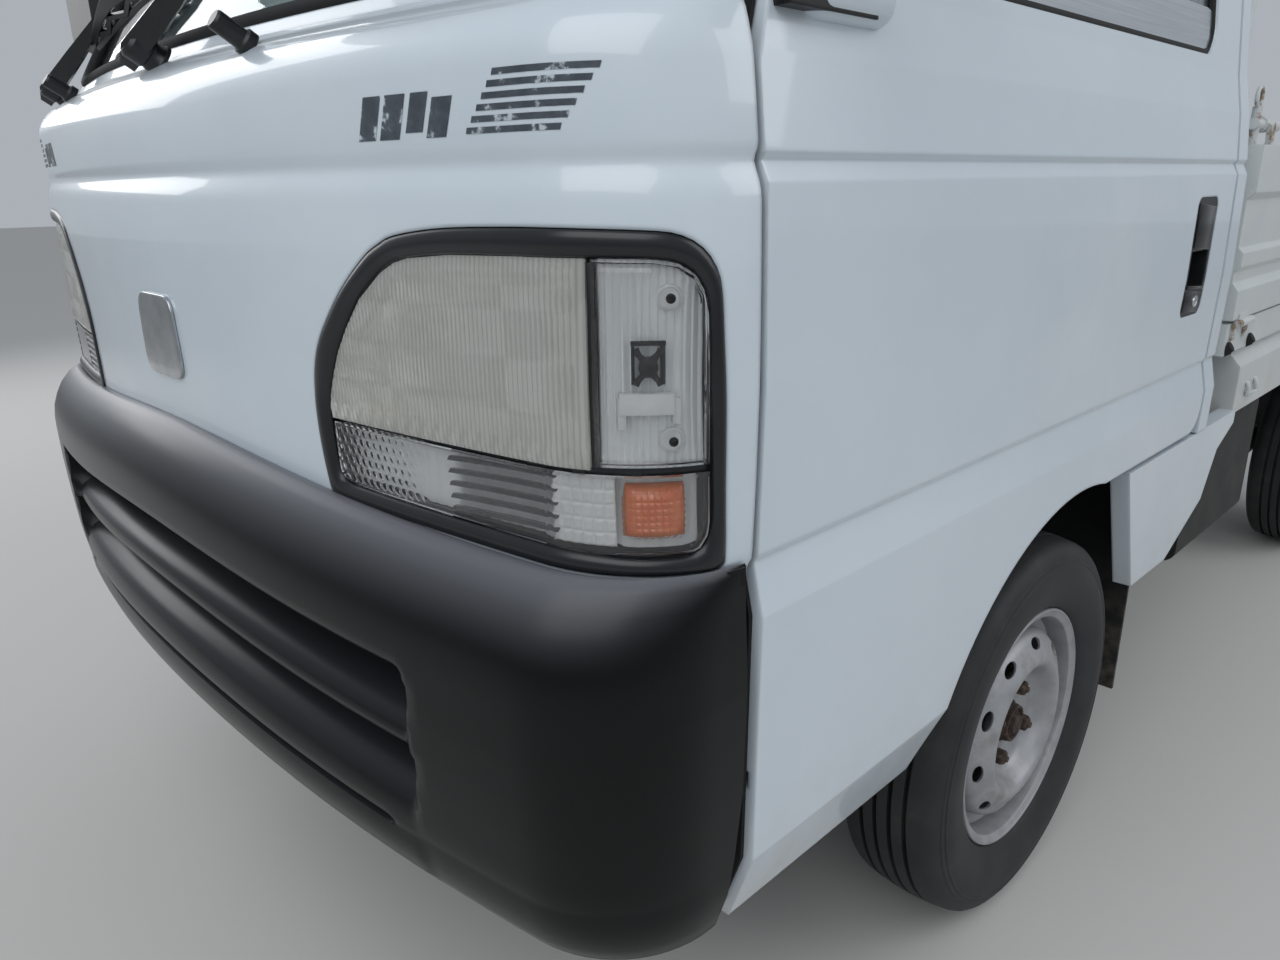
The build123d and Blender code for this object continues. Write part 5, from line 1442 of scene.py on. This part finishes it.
# Mirrors and the hollows behind the door handles: moulded black glass-filled nylon, with a fine grain
# and a dull shine.
nylon_black, shader = gloss("black_glass_filled_nylon", 0.38, IOR=1.36)
tint(nylon_black, shader, patches(nylon_black, 40, (0.4, "#17191b"), (0.8, "#232628")))
grain(nylon_black, shader, 1.2, 0.06, edge=3)
finish(["mirror_left", "mirror_right", "door_handle_left", "door_handle_right"], nylon_black)

# Tail lamps: moulded red acrylic boxes over a reflector, screwed to the rear beam, glossy outside and
# rippled with small prisms.
tail_red, shader = gloss("red_acrylic", 0.12, coat=0.5, coat_roughness=0.03)
tint(tail_red, shader, patches(tail_red, 60, (0.4, "#8d1213"), (0.8, "#a01a18")))
grain(tail_red, shader, 4, 0.3, edge=3)
finish(["tail_lamps"], tail_red)

# Seats: two bucket seats of moulded foam in stretched grey cloth, sewn in channels, each a cushion, a back
# and a head rest on two chromed posts.
seat_outlines = {
    "cushion": ((240, 604, 1116, 696), (234, 602, 1106, 816)),
    "back": ((236, 1134, 1282, 836), (212, 1196, 1282, 1318)),
    "head_rest": ((120, 1212, 1278, 1356), (106, 1240, 1280, 1546)),
}
# where the sewn channels run across each pad: stations on the cushion, heights on the back
cross_channels = {"cushion": (720, 850, 980), "back": (960, 1080, 1200), "head_rest": ()}
channel_side = 92
channel_half = 8
channel_depth = 4
seat_middle = 320
seat_round = 26
seat_voxel = 8
seat_pressure = 4
seat_swell = 10
seat_cloth, shader = gloss("woven_polyester_cloth", 0.85, Sheen_Weight=0.25)
tint(seat_cloth, shader, patches(seat_cloth, 7, (0.35, "#3c4045"), (0.55, "#474b50"), (0.75, "#545459"), detail=8))
grain(seat_cloth, shader, 1.8, 0.35)


def swell(piece, pressure, cap):
    """Blows a pad up from inside as cloth, no point moving further than the cap in mm."""
    before = [vertex.co.copy() for vertex in piece.data.vertices]
    cloth = piece.modifiers.new("swell", "CLOTH")
    cloth.settings.use_pressure = True
    cloth.settings.uniform_pressure_force = pressure
    cloth.settings.effector_weights.gravity = 0
    for step in range(1, 21):
        scene.frame_set(step)
    pick(piece)
    bpy.ops.object.modifier_apply(modifier=cloth.name)
    scene.frame_set(1)
    for vertex, old in zip(piece.data.vertices, before):
        moved = vertex.co - old
        if moved.length > cap * mm:
            vertex.co = old + moved.normalized() * cap * mm


for part, (low, high) in seat_outlines.items():
    bpy.ops.object.select_all(action="DESELECT")
    bpy.ops.mesh.primitive_cube_add(size=2)
    pad = bpy.context.object
    pad.name = pad.data.name = "seat_" + part
    for vertex in pad.data.vertices:
        half, fore, aft, level = low if vertex.co.z < 0 else high
        station = fore if vertex.co.y < 0 else aft
        vertex.co = (vertex.co.x * half * mm, (front + station) * mm, level * mm)
    modify(pad, "BEVEL", width=seat_round * mm, segments=4)
    modify(pad, "REMESH", mode="VOXEL", voxel_size=seat_voxel * mm)
    swell(pad, seat_pressure, seat_swell)
    modify(pad, "SUBSURF", levels=1, render_levels=1)
    for vertex in pad.data.vertices:
        # two channels along the pad and, on the back and cushion, three across it
        gap = min([abs(abs(vertex.co.x) / mm - channel_side)] + [
            abs(vertex.co.z / mm - level) if part == "back" else abs(vertex.co.y / mm - front - level)
            for level in cross_channels[part]])
        if gap < channel_half:
            vertex.co -= vertex.normal * channel_depth * mm * (1 - gap / channel_half)
    done(pad, 60)
    pad.data.materials.clear()
    pad.data.materials.append(seat_cloth)
    for hand, x in (("left", seat_middle), ("right", -seat_middle)):
        piece = copy_to(pad, "seat_%s_%s" % (part, hand), (x, 0, 0))
        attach(piece, "root")
        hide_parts("seats")
    bpy.data.objects.remove(pad)
for hand, x in (("left", seat_middle), ("right", -seat_middle)):
    posts = joined("head_rest_posts_" + hand, *[
        rod("post", [Vector((x + offset, front + 1252, z)) * mm for z in (1296, 1330, 1380)], 5)
        for offset in (-48, 48)
    ])
    posts.data.materials.append(chrome)
    done(posts, 45)
    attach(posts, "root")
